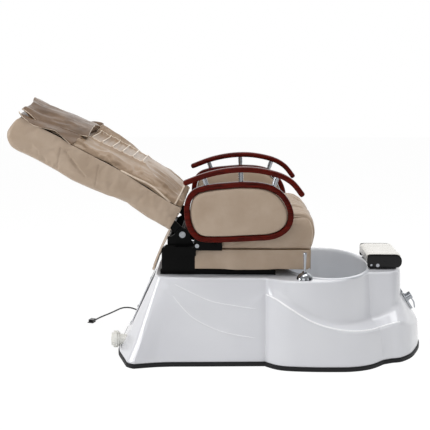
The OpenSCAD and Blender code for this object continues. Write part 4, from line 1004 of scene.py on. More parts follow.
    def rear_cutter(self) -> bpy.types.Object:
        """Cutter of the service opening, square to the rear slope."""
        cutter = box_cutter((-105, -130, -20), (105, 130, 20))
        lean = math.atan2(self.rear_slope, self.deck) - math.pi / 2
        c, s = math.cos(lean), math.sin(lean)
        p = points_of(cutter)
        at = np.array([236 * self.rear_slope / self.deck - self.rear, 0, 236]) / 1000
        set_points(
            cutter,
            np.stack([p[:, 0] * c + p[:, 2] * s, p[:, 1], -p[:, 0] * s + p[:, 2] * c], 1) + at)
        return cutter

    def basin(self) -> None:
        """Builds the bath with its rolled lip, wall, jet holes and waste hole."""
        a, b = self.bath_half
        z0, z1 = self.bath_floor, self.deck
        inside = open_curve([
            (a, b, z0), (a * 0.5, b * 0.5, z0), (72, 108, z0), (55, 84, z0 + 4), (40, 64, z0 + 22),
            (27, 38, z0 + 70), (19, 25, z0 + 115), (9, 12, z0 + 180), (3, 4, z1 - 14),
            (1, 1, z1 - 3)], 6)
        lip = [
            (-1.5, -1.5, z1 + 2.5), (-4, -4, z1 + 4.6), (-8, -8, z1 + 5.2), (-12, -12, z1 + 4.4),
            (-15, -15, z1 + 2.4), (-16, -16, z1 + 0.2), (-12, -12, z1 + 0.1),
            (-4.6, -4.6, z1 + 0.1)]
        outside = [(x - 4 * min(1, (a - x) / 60), y - 4 * min(1, (b - y) / 60),
                    z - (4 if z < z0 + 60 else 1)) for x, y, z in inside[::-1] if z < z1 - 8]
        line = np.array([*inside, *lip, *outside])
        rows = len(line) - 1

        def place(u: np.ndarray, v: np.ndarray) -> np.ndarray:
            q = line[whole(v * rows)]
            turn = 2 * np.pi * u
            x, y = (a - q[:, 0]) * np.cos(turn), (b - q[:, 1]) * np.sin(turn)
            return np.stack([self.bath[0] + x, y, q[:, 2]], 1)

        bath = skin("foot_bath", 144, rows, place)
        cut_away(bath, plug((self.bath[0], 0, z0), (0, 0, 1), self.waste_hole, 40, 48))
        for side in (-1, 1):
            for turn in self.jet_turns:
                c, s = math.cos(math.radians(turn)), side * math.sin(math.radians(turn))
                run = Vector((c / (a - 24), s / (b - 32), 0)).normalized()
                at = (self.bath[0] + (a - 24) * c, (b - 32) * s, z0 + 90)
                cut_away(bath, plug(at, tuple(run), self.jet_hole, 70, 40))
        smooth_by_angle(bath, 40)
        settle(bath, "base", BATH_ACRYLIC, "foot_basin")

    def strip(self) -> None:
        """Builds the rubber strip with its ribs and soft upper edge."""
        line = self.outline(4)
        normal = outward(line[:, :2])
        section = [
            (0.1, 0), (self.kick_wall - 0.5, 0), (self.kick_wall, 1), (self.kick_wall, 5), (4.4, 6),
            (4.4, 7), (self.kick_wall, 8), (self.kick_wall, 15), (4.2, 18.4), (2.6, self.kick),
            (0.1, self.kick), (0.1, 10)]
        columns, rows = len(line), len(section)

        def place(u: np.ndarray, v: np.ndarray) -> np.ndarray:
            i = whole(u * columns) % columns
            q = np.array(section)[whole(v * rows) % rows]
            out = line[i, :2] + normal[i] * q[:, :1]
            return np.stack([out[:, 0], out[:, 1], q[:, 1]], 1)

        strip = skin("kick_strip_ribbed", columns, rows, place)
        smooth_by_angle(strip, 40)
        settle(strip, "base", KICK_RUBBER, "kick_strip")


# ---------------------------------------------------------------------------------------------
# Water fittings and machinery, whose solids stay
# ---------------------------------------------------------------------------------------------
@dataclass
class Fittings:
    """Plumbing, drives and metalwork that keep their own solids."""

    def build(self) -> None:
        """Gives every kept solid its finish."""
        by_finish = {
            CHROME: (
                "mixer_body", "mixer_cap", "mixer_lever", "shower_dome", "hand_shower",
                "jet_nozzles", "drain_strainer", "drain_plug", "footrest_pin", "arm_bolts",
                "posts_left", "posts_right"),
            DULL_STEEL: ("slide_rod", "hinge_pins", "massage_track", "recline_rod"),
            WHITE_PVC: ("drain_pipe", "drain_union", "union_nut", "jet_pipes"),
            POWDER_COAT: (
                "slide_rails", "seat_frame", "arm_brackets", "lug_left", "lug_right", "back_frame",
                "footrest_bracket"),
            GREY_ABS: (
                "circulation_pump", "control_box", "slide_actuator", "recline_motor",
                "massage_carriage", "upper_rollers", "lower_rollers"),
            HOSE_RUBBER: ("water_hoses",), PLYWOOD: ("seat_board",),
            BLACK_ABS: ("footrest_shell", "cord_gland", "mains_plug")}
        for finish, names in by_finish.items():
            for name in names:
                finish.dress(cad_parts[name])
                smooth_by_angle(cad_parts[name], 30)
        log.info("fittings")


# ---------------------------------------------------------------------------------------------
# Reclining back
# ---------------------------------------------------------------------------------------------
@dataclass
class RecliningBack:
    """Upholstered shell, massage pad and draped head flap."""

    hinge: Flat = (-400, 565)
    lean: float = math.radians(28.3)
    half: float = 258
    front: float = 120
    first_seam: float = 308
    seam_step: float = 49.4
    seams: int = 7
    panel: float = 118
    band: float = 91
    rear: tuple[Flat, ...] = (
        (60, -16), (125, -11), (193, -4), (250, 2), (293, 5), (336, 0), (375, -5), (419, -9),
        (475, -15), (532, -20), (575, -19), (615, -17), (680, -16), (747, -15), (800, -16),
        (838, -12), (860, 1), (872, 20), (875, 45), (873, 72), (867, 98), (850, 121))
    seam_line: tuple[Flat, ...] = (
        (60, 104), (100, 100), (150, 103), (213, 108), (283, 114), (353, 121), (420, 122),
        (483, 121), (616, 120), (660, 126), (740, 126), (800, 119), (850, 121))
    middle: tuple[Flat, ...] = (
        (62, 138), (74, 150), (91, 159), (125, 167), (176, 178), (243, 185), (285, 185), (308, 182),
        (357, 180), (408, 178), (455, 175), (511, 171), (605, 170), (660, 166), (700, 158),
        (740, 146), (800, 138), (847, 131))
    wing: tuple[Flat, ...] = (
        (300, 0), (359, 11), (415, 19), (474, 31), (535, 39), (580, 41), (615, 30), (660, 0))
    crest: tuple[Flat, ...] = (
        (560, 214), (600, 211), (635, 206), (682, 204), (725, 197), (770, 190), (823, 181),
        (865, 184), (890, 186))
    over_hem: tuple[Flat, ...] = (
        (560, 181), (607, 166), (647, 159), (697, 150), (744, 138), (787, 136), (832, 149),
        (868, 153))
    over_half: tuple[Flat, ...] = ((560, 192), (640, 198), (720, 207), (868, 208))
    under_hem: tuple[Flat, ...] = (
        (606, 121), (640, 131), (672, 140), (694, 144), (715, 138), (745, 129), (784, 119),
        (812, 122), (845, 129), (869, 142))

    def tilt(self) -> Flat:
        """Cosine and sine of the back's lean."""
        return math.cos(self.lean), math.sin(self.lean)

    def at(self, u: np.ndarray, y: np.ndarray, v: np.ndarray) -> np.ndarray:
        """Points up the back by u and out of its face by v."""
        c, s = self.tilt()
        u, y, v = np.broadcast_arrays(u, y, v)
        return np.stack([self.hinge[0] + v * s - u * c, y, self.hinge[1] + u * s + v * c], -1)

    def local(self, points: np.ndarray) -> tuple[np.ndarray, np.ndarray, np.ndarray]:
        """u, y and v of points in millimetres."""
        c, s = self.tilt()
        x, z = points[:, 0] - self.hinge[0], points[:, 2] - self.hinge[1]
        return z * s - x * c, points[:, 1], x * s + z * c

    def along(self, line: tuple[Flat, ...], u: np.ndarray) -> np.ndarray:
        """Height of one of the back's lines at u."""
        table = np.array(line)
        return np.interp(u, table[:, 0], table[:, 1])

    def last_seam(self) -> float:
        """Where the panel's uppermost seam lies."""
        return self.first_seam + self.seam_step * (self.seams - 1)

    def seam(self, u: np.ndarray) -> np.ndarray:
        """Height of the seam between shell and pad on the sides."""
        return self.along(self.seam_line, u)

    def pad_half(self, u: np.ndarray) -> np.ndarray:
        """Half width of the pad."""
        return 252 - 13 * unit((u - 610) / 60) - 12 * unit((u - 760) / 87) ** 2

    def pad_top(self, u: np.ndarray, y: np.ndarray) -> np.ndarray:
        """Height of the pad's face: a flat middle, rounded shoulders and a fuller left wing."""
        flat = 125 - 20 * unit((u - 600) / 100)
        over = unit((np.abs(y) - flat) / (self.pad_half(u) - flat))
        wing = self.along(self.wing, u) * np.exp(-((y - 168) / 42) ** 2)
        crown = np.maximum(0, 1 - (y / 130) ** 2) * 14 * unit((300 - u) / 60)
        rim = self.seam(u)
        return rim + (self.along(self.middle, u) + wing + crown - rim) * np.sqrt(1 - over ** 2.2)

    def build(self) -> None:
        """Builds the shell, the pad with its welts and the flap."""
        self.shell()
        pad = self.cushion()
        self.welts(pad)
        self.flap()
        log.info("reclining back")

    def shell(self) -> None:
        """Builds the padded shell: rear face, sides, rounded head end and a closed lower end."""
        spine = evenly(open_curve(self.rear, 10), 134)
        gone = np.r_[0, np.cumsum(np.linalg.norm(np.diff(spine, axis=0), axis=1))]
        turn_from = np.interp(760, spine[:90, 0], gone[:90])
        past = unit((gone - turn_from) / (gone[-1] - turn_from))
        top_u = np.where(past > 0, 760 + 90 * past ** 0.8, spine[:, 0])
        top = np.stack([top_u, self.seam(top_u)], 1)
        wide = self.half - 9 * past ** 2
        section = self.section()
        lead = np.array([0.0, 0.35, 0.7, 0.93])
        rows, columns = len(spine) - 1 + len(lead), len(section) - 1

        def place(u: np.ndarray, v: np.ndarray) -> np.ndarray:
            k = whole(v * rows)
            cap = np.where(k < len(lead), lead[np.minimum(k, len(lead) - 1)], 1.0)
            i = np.clip(k - len(lead), 0, len(spine) - 1)
            q = section[whole(u * columns)]
            tall = np.linalg.norm(top[i] - spine[i], axis=1)
            curve = np.minimum(
                50 - 26 * past[i] - 24 * np.exp(-((top[i, 0] - 310) / 130) ** 2), tall * 0.75)
            side, turn, flat = q[:, 1], np.radians(q[:, 2]), q[:, 3]
            h = np.where(
                q[:, 0] == 0, curve + (tall - curve) * (1 - side), curve * (1 - np.sin(turn)))
            y = np.where(q[:, 0] == 0, wide[i], wide[i] - curve * (1 - np.cos(turn)))
            y = np.where(q[:, 0] == 2, (wide[i] - curve) * flat, y) * q[:, 4]
            h = np.where(q[:, 0] == 2, 0.0, h) + 5 * (np.abs(y) / self.half) ** 4 * (q[:, 0] == 2)
            h = tall - (tall - h) * cap
            way = (top[i] - spine[i]) / np.maximum(tall, 1e-6)[:, None]
            p = spine[i] + way * h[:, None]
            return self.at(p[:, 0], y, p[:, 1])

        shell = skin("back_shell_cover", columns, rows, place)
        swell(shell, 1.6, 9, self.is_rim, frames=14, spare=0.012)
        self.clear_of_frame(shell)
        modify(shell, "SUBSURF", levels=1, render_levels=1)
        press(shell, self.shell_folds)
        modify(shell, "SOLIDIFY", thickness=0.0035, offset=-1.0)
        settle(shell, "back", TAUPE_VINYL, "back_shell")

    def clear_of_frame(self, shell: bpy.types.Object) -> None:
        """Keeps the rear face and its corners outside the steel frame in it."""
        p = points_of(shell) * 1000
        u, y, v = self.local(p)
        most = self.along(self.rear, u) + 2.0 + 0.05 * np.clip(np.abs(y) - 230, 0, None) ** 2
        deep = np.where(
            (v < most + 14) & (u > 90) & (u < 800) & (np.abs(y) < 246), np.maximum(0, v - most), 0)
        c, s = self.tilt()
        p[:, 0] -= deep * s
        p[:, 2] -= deep * c
        set_points(shell, p / 1000)

    def section(self) -> np.ndarray:
        """Stations of the section: kind, share of side, turn of corner, share of rear, side."""
        half = [(0, t, 0, 0) for t in np.linspace(0, 1, 17)[:-1]]
        half += [(1, 0, a, 0) for a in np.linspace(0, 90, 9)[:-1]]
        half += [(2, 0, 0, t) for t in np.linspace(1, 0, 19)]
        return np.array([(*q, 1) for q in half] + [(*q, -1) for q in half[-2::-1]], float)

    def is_rim(self, co: Vector) -> bool:
        """Whether a point of the shell lies near the seam or the open lower end."""
        u, _, v = self.local(np.array([co]) * 1000)
        return bool(v[0] > self.seam(u)[0] - 4 or u[0] < 66)

    def shell_folds(self, points: np.ndarray) -> np.ndarray:
        """Depths of the dart, the upright seam and the creases on the shell's sides."""
        u, y, v = self.local(points)
        on_side = unit((np.abs(y) - self.half + 60) / 40)
        depth = np.zeros(len(u))
        for a, b, reach, deep in (
                ((636, 86), (612, -14), 4.5, 3.6), ((459, 98), (433, 8), 4.5, 3.4),
                ((612, 84), (575, 64), 7, 4.5), ((578, 66), (540, 46), 8, 7.5),
                ((545, 48), (492, 27), 8, 5.0), ((700, 20), (672, -2), 6, 2.4),
                ((722, 26), (705, 2), 5, 2.0), ((610, 2), (470, 20), 14, 2.4),
                ((330, 90), (250, 30), 22, 2.0), ((210, 88), (170, 15), 20, 2.2),
                ((395, 104), (372, 40), 15, 1.6)):
            groove = self.near(u, v, a, b, reach)
            depth = np.maximum(depth, deep * groove * on_side)
            beside = self.near(u + reach * 0.6, v - reach * 1.5, a, b, reach * 1.2)
            depth -= deep * 0.7 * beside * on_side * (1 - groove)
        wave = np.sin(u / 33 + 0.02 * v) * np.sin(v / 27 + u / 90) * 0.7
        return depth + (wave + np.sin(u / 61 + y / 70) * 0.8)

    def near(self, u: np.ndarray, v: np.ndarray, a: Flat, b: Flat, reach: float) -> np.ndarray:
        """1 on the stretch from a to b, falling to 0 beside it."""
        run = np.array(b, float) - a
        t = unit(((u - a[0]) * run[0] + (v - a[1]) * run[1]) / (run @ run))
        off = np.hypot(u - a[0] - run[0] * t, v - a[1] - run[1] * t)
        return np.exp(-(off / reach) ** 2)

    def cushion(self) -> bpy.types.Object:
        """Builds the pad: flat in the middle, boxed at its rim, with a ribbed massage panel."""
        ups = np.r_[np.full(4, 62.0), np.linspace(62, 847, 132), np.full(4, 847.0)]
        size = np.r_[0.0, 0.45, 0.8, 0.95, np.ones(132), 0.95, 0.8, 0.45, 0.0]
        turns = np.r_[np.linspace(0, 180, 81)[:-1], np.linspace(180, 360, 33)]
        rows, columns = len(ups) - 1, len(turns) - 1

        def place(a: np.ndarray, b: np.ndarray) -> np.ndarray:
            k, j = whole(b * rows), whole(a * columns)
            u, turn = ups[k], np.radians(turns[j])
            over = turns[j] <= 180
            wide = self.pad_half(u)
            c = np.cos(turn)
            y = wide * np.sign(c) * np.abs(c) ** 0.7
            rim = self.seam(u) + 0.6
            floor = self.front + 0.6 - (self.front - rim) * unit((np.abs(y) / wide - 0.86) / 0.14)
            v = np.where(over, np.maximum(self.pad_top(u, y), floor), floor)
            mid = self.front + 12
            return self.at(u, y * size[k], mid + (v - mid) * size[k])

        pad = skin("massage_pad", columns, rows, place)
        swell(pad, 3.0, 12, self.is_sewn, frames=18, spare=0.02)
        modify(pad, "SUBSURF", levels=1, render_levels=1)
        press(pad, self.ribs)
        # The pad's browner, darker finish is painted shade on its upward-facing face
        settle(pad, "back", TAUPE_PAD_PAINTED_SHADE, "back_pad")
        return pad

    def is_sewn(self, co: Vector) -> bool:
        """Whether a point of the pad is held: rim, underside, panel or under the flap."""
        u, y, v = self.local(np.array([co]) * 1000)
        return bool(v[0] < self.front + 6 or u[0] > 600 or (abs(y[0]) < self.panel and 290 < u[0]))

    def ribs(self, points: np.ndarray) -> np.ndarray:
        """Depths of the panel's seams, and of the gathers at the lower end."""
        u, y, v = self.local(points)
        last = self.last_seam()
        upper = unit((v - self.front - 20) / 12)
        k = np.clip(np.rint((u - self.first_seam) / self.seam_step), 0, self.seams - 1)
        off = np.abs(u - self.first_seam - k * self.seam_step)
        inside = 1 / (1 + np.exp((np.abs(y) - self.panel) / 2.5))
        depth = 5.0 * np.exp(-(off / 5) ** 2) * inside * upper
        past = np.abs(u - (self.first_seam + last) / 2) - (last - self.first_seam) / 2 - 14
        span = 1 / (1 + np.exp(past / 4))
        depth += 4.5 * np.exp(-((np.abs(y) - self.panel) / 5) ** 2) * span * upper
        depth -= 3.0 * np.sin(np.pi * unit(off / self.seam_step * 2)) * inside * span * upper
        shoulder = unit((np.abs(y) - 60) / 40) * unit((235 - np.abs(y)) / 30)
        fan = np.abs(y) + (u - self.band) * 0.28
        depth += 6.5 * np.sin(fan / 9.0) * shoulder * np.exp(-((u - 130) / 85) ** 2) * upper
        depth += 4.0 * np.exp(-((u - self.band) / 6) ** 2) * upper
        depth += 3.4 * np.sin(np.abs(y) / 5.2 + v / 9) * unit((self.band - u) / 12)
        side = unit((np.abs(y) - 190) / 40) * np.exp(-((u - 380) / 240) ** 2)
        depth += side * (3.4 * np.sin(u / 38 + v / 10) + 1.6 * np.sin(u / 17 - v / 14))
        # The long slack fold that runs down the pad's shoulder from the flap
        for a, b, reach, deep in (
                ((560, 166), (330, 146), 9, 6.0), ((300, 158), (150, 122), 10, 7.0),
                ((450, 150), (250, 128), 8, 4.0), ((590, 150), (470, 138), 7, 4.0)):
            depth += deep * self.near(u, v, a, b, reach) * unit((np.abs(y) - 150) / 30)
        return depth

    def welts(self, pad: bpy.types.Object) -> None:
        """Lays the welts: seven across, two along, and one round both rims and the lower end."""
        down = self.at(0, 0, 0) - self.at(0, 0, 1)
        for k in range(self.seams):
            up = self.first_seam + self.seam_step * k
            line = self.at(up, np.linspace(-self.panel, self.panel, 60), 300.0)
            self.welt(f"cross_welt_{k}", laid_on(pad, line, down, -0.6), 2.5, CREAM_WELT)
        last = self.last_seam()
        rims = []
        for side, name in SIDES:
            ups = np.linspace(self.first_seam - 14, last + 10, 120)
            line = self.at(ups, side * self.panel * np.ones(120), 300.0)
            self.welt(f"panel_welt_{name}", laid_on(pad, line, down, 0.0), 1.6, CREAM_WELT)
            ups = np.r_[np.linspace(395, 112, 70), 104, 97]
            lift = np.interp(
                ups, (104, 125, 162, 205, 250, 300, 350, 395), (0, 3, 11, 17, 16, 9, 2, -3))
            line = self.at(ups, side * 900.0 * np.ones(72), self.seam(ups) + lift)
            rims.append(laid_on(pad, line, (0, -side, 0), -1.2))
        over = []
        for turn in np.radians(np.linspace(186, -6, 150)):
            out = np.array([math.cos(turn), math.sin(turn)])
            start = self.at(self.band, out[0] * 600, 118 + out[1] * 600)
            way = self.at(0, -out[0], -out[1]) - self.at(0, 0, 0)
            over.extend(laid_on(pad, start[None], way, -1.2))
        round_all = np.vstack([rims[0], over, rims[1][::-1]])
        self.welt("rim_welt", evenly(round_all, 420), 4.2, TAUPE_WELT)

    def welt(self, name: str, line: np.ndarray, radius: float, finish: Finish) -> None:
        """Makes one welt that rides on the back."""
        if len(line) < 3:
            return
        piece = to_mesh(round_line(name, line, radius, sides=2))
        settle(piece, "back", finish)

    def flap(self) -> None:
        """Builds the head flap: a thin sheet with hanging sides under a padded one with folds."""
        under = self.layer(
            "head_flap_under", lambda f: 572 + 34 * f ** 4, lambda f: 869 - 6 * f ** 2,
            self.under_half, self.under_top, lambda u, y: self.under_top(u, y) - 2.6)
        over = self.layer("head_flap", lambda f: 566 + 15 * (1 - f ** 2), self.head_edge,
                          lambda u: self.along(self.over_half, u), self.over_top, self.over_floor)
        # The flap's browner, darker finish is painted shade on its upward-facing top
        for piece in (under, over):
            settle(piece, "back", TAUPE_FLAP_PAINTED_SHADE)
        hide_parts("head_pillow")
        for side, name in SIDES:
            ups = np.linspace(867, 567, 110)
            wide = self.along(self.over_half, ups) + 1.5
            hem = self.at(ups, side * wide, self.along(self.over_hem, ups) - 3)
            ys = np.linspace(1, 0.1, 50) * side
            edge = 566 + 15 * (1 - ys ** 2)
            across = ys * self.along(self.over_half, edge)
            low = self.at(edge - 1.5, across, self.over_top(edge, across) - 4)
            self.welt(f"flap_welt_{name}", np.vstack([hem, low]), 2.2, TAUPE_WELT)
            ups = np.linspace(868, 608, 110)
            wide = self.under_half(ups) + 0.5
            hem = self.at(ups, side * wide, self.along(self.under_hem, ups) - 1)
            self.welt(f"hem_welt_{name}", hem, 2.0, TAUPE_WELT)

    def under_half(self, u: np.ndarray) -> np.ndarray:
        """Half width of the lower layer."""
        return 260 - 10 * unit((u - 840) / 30)

    def head_edge(self, f: np.ndarray) -> np.ndarray:
        """Wavy head end of the upper layer."""
        shares = (-1, -0.72, -0.48, -0.2, 0, 0.3, 0.6, 1)
        ends = (868, 860, 858, 867, 882, 889, 886, 874)
        edge = [np.interp(f + d, shares, ends) for d in (-0.12, -0.06, 0, 0.06, 0.12)]
        return sum(edge) / 5

    def over_top(self, u: np.ndarray, y: np.ndarray) -> np.ndarray:
        """Height of the upper layer, draped over the pad's shoulders, with folds that fan out."""
        share = np.abs(y) / self.along(self.over_half, u)
        crest, hem = self.along(self.crest, u), self.along(self.over_hem, u)
        fade = unit((u - 620) / 230) * unit((1 - share) / 0.12)
        fan = y * (1 - 0.25 * (u - 600) / 280)
        fade = fade * (1 - 0.45 * unit((u - 800) / 60))
        fold = 5.6 * np.sin(fan / 13.5 + 0.8 * np.sin(u / 55)) * fade
        fold = fold + 1.8 * np.sin(fan / 6.1 + u / 70) * fade
        over_pad = self.pad_face(u, y) + 4.5 - 30 * unit((u - 760) / 60)
        return np.maximum(crest - (crest - hem) * np.clip(share, 0, 1.05) ** 2.3, over_pad) + fold

    def pad_face(self, u: np.ndarray, y: np.ndarray) -> np.ndarray:
        """Height of the pad's face, which past the pad's upper end stays as it is there."""
        return self.pad_top(np.minimum(u, 846), y)

    def over_floor(self, u: np.ndarray, y: np.ndarray) -> np.ndarray:
        """Height of the upper layer's underside: on the pad, and thin past its end."""
        top = self.over_top(u, y)
        on_pad = self.pad_face(u, y) + 4
        past = unit((u - 812) / 38)
        return np.minimum(top - 5, on_pad * (1 - past) + (top - 6) * past)

    def under_top(self, u: np.ndarray, y: np.ndarray) -> np.ndarray:
        """Height of the lower layer: on the pad, then hanging over its side."""
        reach = unit((np.abs(y) - 196) / 64)
        sunk = 4.5 * unit((612 - u) / 30)
        inner = self.pad_face(u, np.clip(y, -196, 196)) + 3.2 - sunk
        hem = self.along(self.under_hem, u)
        ripple_up = 1.6 * np.sin(u / 13.0 + y / 30) * reach
        return inner + (hem - inner) * reach ** 1.5 + ripple_up

    def layer(self, name: str, low: Callable, high: Callable, half: Callable, top: Place,
              under: Place) -> bpy.types.Object:
        """Makes one layer of the flap.

        Args:
            name: the piece's name.
            low: lower end for shares from -1 to 1 across the back.
            high: head end for the same shares.
            half: half width at u.
            top: height of the upper face at u and y.
            under: height of the lower face at u and y.

        Returns:
            The piece.
        """
        across = np.r_[np.linspace(-1, 1, 81), np.linspace(1, -1, 81)]
        upper = np.r_[np.ones(81), np.zeros(81)]
        ends = np.r_[0, np.linspace(0, 1, 64), 1]
        shut = np.r_[1, np.zeros(64), 1]
        columns, rows = len(across), len(ends) - 1

        def place(a: np.ndarray, b: np.ndarray) -> np.ndarray:
            j, k = whole(a * columns) % columns, whole(b * rows)
            f, t = across[j], ends[k]
            u = low(f) + (high(f) - low(f)) * t
            y = f * half(u)
            over, beneath = top(u, y), under(u, y)
            middle = (over + beneath) / 2
            v = np.where(shut[k] > 0, middle, np.where(upper[j] > 0, over, beneath))
            return self.at(u, y, v)

        piece = skin(name, columns, rows, place)
        swell(piece, 0.8, 5, lambda co: False, frames=8, spare=0.02)
        modify(piece, "SUBSURF", levels=1, render_levels=1)
        return piece


# ---------------------------------------------------------------------------------------------
# Seat
# ---------------------------------------------------------------------------------------------
@dataclass
class Seat:
    """Channelled cushion, hanging skirt and the curtain behind it."""

    half: float = 262
    front: float = 172
    rear: float = 245
    base: float = 500.3
    thick: float = 184
    channels: int = 7
    channel_run: float = 242
    hem: float = 415
    rear_edge: float = -345

    def build(self) -> None:
        """Builds the cushion, the skirt and the curtain."""
        self.cushion()
        self.skirt()
        self.curtain()
        log.info("seat")

    def cushion(self) -> None:
        """Builds the cushion with its boxed sides."""
        t, r, f = self.thick, -self.rear, self.front
        soft, wide, corner = 15, self.half, 30
        side = open_curve([
            (r + 8, 0), (r, 0.12 * t), (r, 0.45 * t), (r + 8, 0.74 * t), (r + 45, 0.93 * t),
            (-100, 0.98 * t), (20, t), (90, t), (f - 38, 0.97 * t), (f - 14, 0.84 * t),
            (f - 3, 0.62 * t), (f, 0.4 * t), (f - 4, 0.18 * t), (f - 12, 0)], 12)
        ring = np.vstack([
            evenly(side, 96), evenly(np.array([(f - 12, 0), (r + 8, 0)], float), 32)[1:]])
        inward = outward(ring[:-1])
        inward = np.vstack([inward, inward[:1]])
        turn = 1 - np.cos(np.linspace(0, 90, 8) * np.pi / 180)
        ys = np.r_[np.full(5, -wide), corner * turn[1:] - wide, np.linspace(-230, 230, 78),
                   wide - corner * turn[:0:-1], np.full(5, wide)]
        size = np.r_[0, 0.35, 0.7, 0.9, 1, np.ones(92), 1, 0.9, 0.7, 0.35, 0]
        rows, columns = len(ys) - 1, len(ring) - 1
        middle = np.array([(f + r) / 2, t * 0.4])

        def place(a: np.ndarray, b: np.ndarray) -> np.ndarray:
            j, k = whole(a * columns), whole(b * rows)
            y = ys[k]
            out = unit((np.abs(y) - wide + corner) / corner)
            drawn = soft * (1 - np.sqrt(1 - out ** 2))
            crown = 0.7 + 0.3 * np.sqrt(np.maximum(0, 1 - (np.abs(y) / wide) ** 2.6))
            p = ring[j] + inward[j] * drawn[:, None]
            p = p * np.stack([np.ones(len(k)), crown], 1)
            p = middle + (p - middle) * size[k][:, None]
            return np.stack([p[:, 0], y * 0.985, self.base + np.maximum(p[:, 1], 0)], 1)

        cushion = skin("seat_cushion_cover", columns, rows, place)
        swell(cushion, 4.0, 16, lambda co: co.z < (self.base + 14) / 1000, frames=16, spare=0.015)
        self.keep_in(cushion)
        modify(cushion, "SUBSURF", levels=1, render_levels=1)
        press(cushion, self.channel_depth)
        settle(cushion, "seat", TAUPE_VINYL, "seat_cushion")
        self.side_welts(cushion)

    def keep_in(self, cushion: bpy.types.Object) -> None:
        """Keeps the swollen sides clear of the arms."""
        p = points_of(cushion)
        over = np.clip(np.abs(p[:, 1]) - self.half / 1000, 0, None)
        p[:, 1] -= np.sign(p[:, 1]) * over * 0.85
        set_points(cushion, p)

    def channel_depth(self, points: np.ndarray) -> np.ndarray:
        """Depths of the channels that run over the top and down the front."""
        x, y, z = points.T
        step = 2 * self.channel_run / self.channels
        k = np.clip(np.rint((y + self.channel_run) / step), 0, self.channels)
        off = np.abs(y + self.channel_run - k * step)
        up = unit((z - self.base - 25) / 40) * unit((x + self.rear - 6) / 24)
        on_face = unit((self.channel_run + 9 - np.abs(y)) / 6)
        depth = 8.5 * np.exp(-(off / 6) ** 2) - 3.5 * np.sin(np.pi * unit(off / step * 2))
        crease = 0.9 * np.sin(x / 19 + y / 23) * np.sin(y / 31 - x / 47)
        return depth * up * on_face + crease

    def side_welts(self, cushion: bpy.types.Object) -> None:
        """Sews a welt where the top meets each boxed side."""
        for side, name in SIDES:
            t, r, f = self.thick, -self.rear, self.front
            line = open_curve([
                (r + 20, 0.62 * t), (r + 52, 0.72 * t), (-100, 0.76 * t), (20, 0.78 * t),
                (95, 0.78 * t), (f - 30, 0.73 * t), (f - 12, 0.6 * t), (f - 6, 0.4 * t),
                (f - 9, 0.14 * t)], 12)
            points = np.stack([
                line[:, 0], np.full(len(line), side * 400.0), self.base + line[:, 1]], 1)
            met = laid_on(cushion, points, (0, -side, 0), -0.3)
            if len(met) > 3:
                welt = to_mesh(round_line(f"seat_welt_{name}", met, 2.3, sides=2))
                settle(welt, "seat", TAUPE_WELT)

    def skirt(self) -> None:
        """Hangs the two side flaps and the front one from the seat board."""
        run = self.front - 15 - self.rear_edge
        tall = self.base - 0.3 - self.hem
        for side, name in SIDES:
            def place(a: np.ndarray, b: np.ndarray, side: int = side) -> np.ndarray:
                x = self.rear_edge + run * a
                wave = 3.4 * (0.5 - 0.5 * np.cos(a * 8 * np.pi + 0.6)) * (1.25 - b)
                wave = wave + 0.9 * np.sin(a * 41) * (1 - b)
                low = self.hem + 2.4 * np.sin(a * 9.0 + 0.7) + 10 * unit((a - 0.965) / 0.035) ** 2
                y = side * (self.half + 1.2 + wave)
                return np.stack([x, y, low + (self.base + 2 - low) * b], 1)
            self.flap(f"skirt_{name}", place, run, tall)

        def front(a: np.ndarray, b: np.ndarray) -> np.ndarray:
            y = (2 * a - 1) * (self.half - 3)
            wave = 3.0 * (0.5 - 0.5 * np.cos(a * 6 * np.pi)) * (1.2 - b)
            low = self.hem + 1.8 * np.sin(a * 13)
            return np.stack([self.front - 12.5 + wave, y, low + (self.base + 2 - low) * b], 1)

        self.flap("skirt_front", front, 2 * (self.half - 3), tall)

    def flap(self, name: str, place: Place, run: float, tall: float) -> None:
        """Makes one hanging flap."""
        flap = skin(name, 110, 20, place, welded=False)
        modify(flap, "SOLIDIFY", thickness=0.0022, offset=0.0)
        settle(flap, "seat", TAUPE_VINYL, "seat_skirt")

    def curtain(self) -> None:
        """Hangs the gathered curtain from its bar down to the deck."""
        top, low, half = (-464.3, 553), (-536, 394), 205

        def place(a: np.ndarray, b: np.ndarray) -> np.ndarray:
            deep = (5.5 - 3.5 * b) * np.cos(a * 20 * np.pi) + 1.5 * np.sin(a * 17)
            x = low[0] + (top[0] - low[0]) * b + deep * (1 - 0.35 * b)
            z = low[1] + (top[1] - low[1]) * b
            return np.stack([x - 6 * np.sin(np.pi * b), (2 * a - 1) * half, z], 1)

        curtain = skin("rear_curtain", 160, 18, place, welded=False)
        modify(curtain, "SOLIDIFY", thickness=0.002, offset=0.0)
        settle(curtain, "seat", TAUPE_VINYL, "back_curtain")


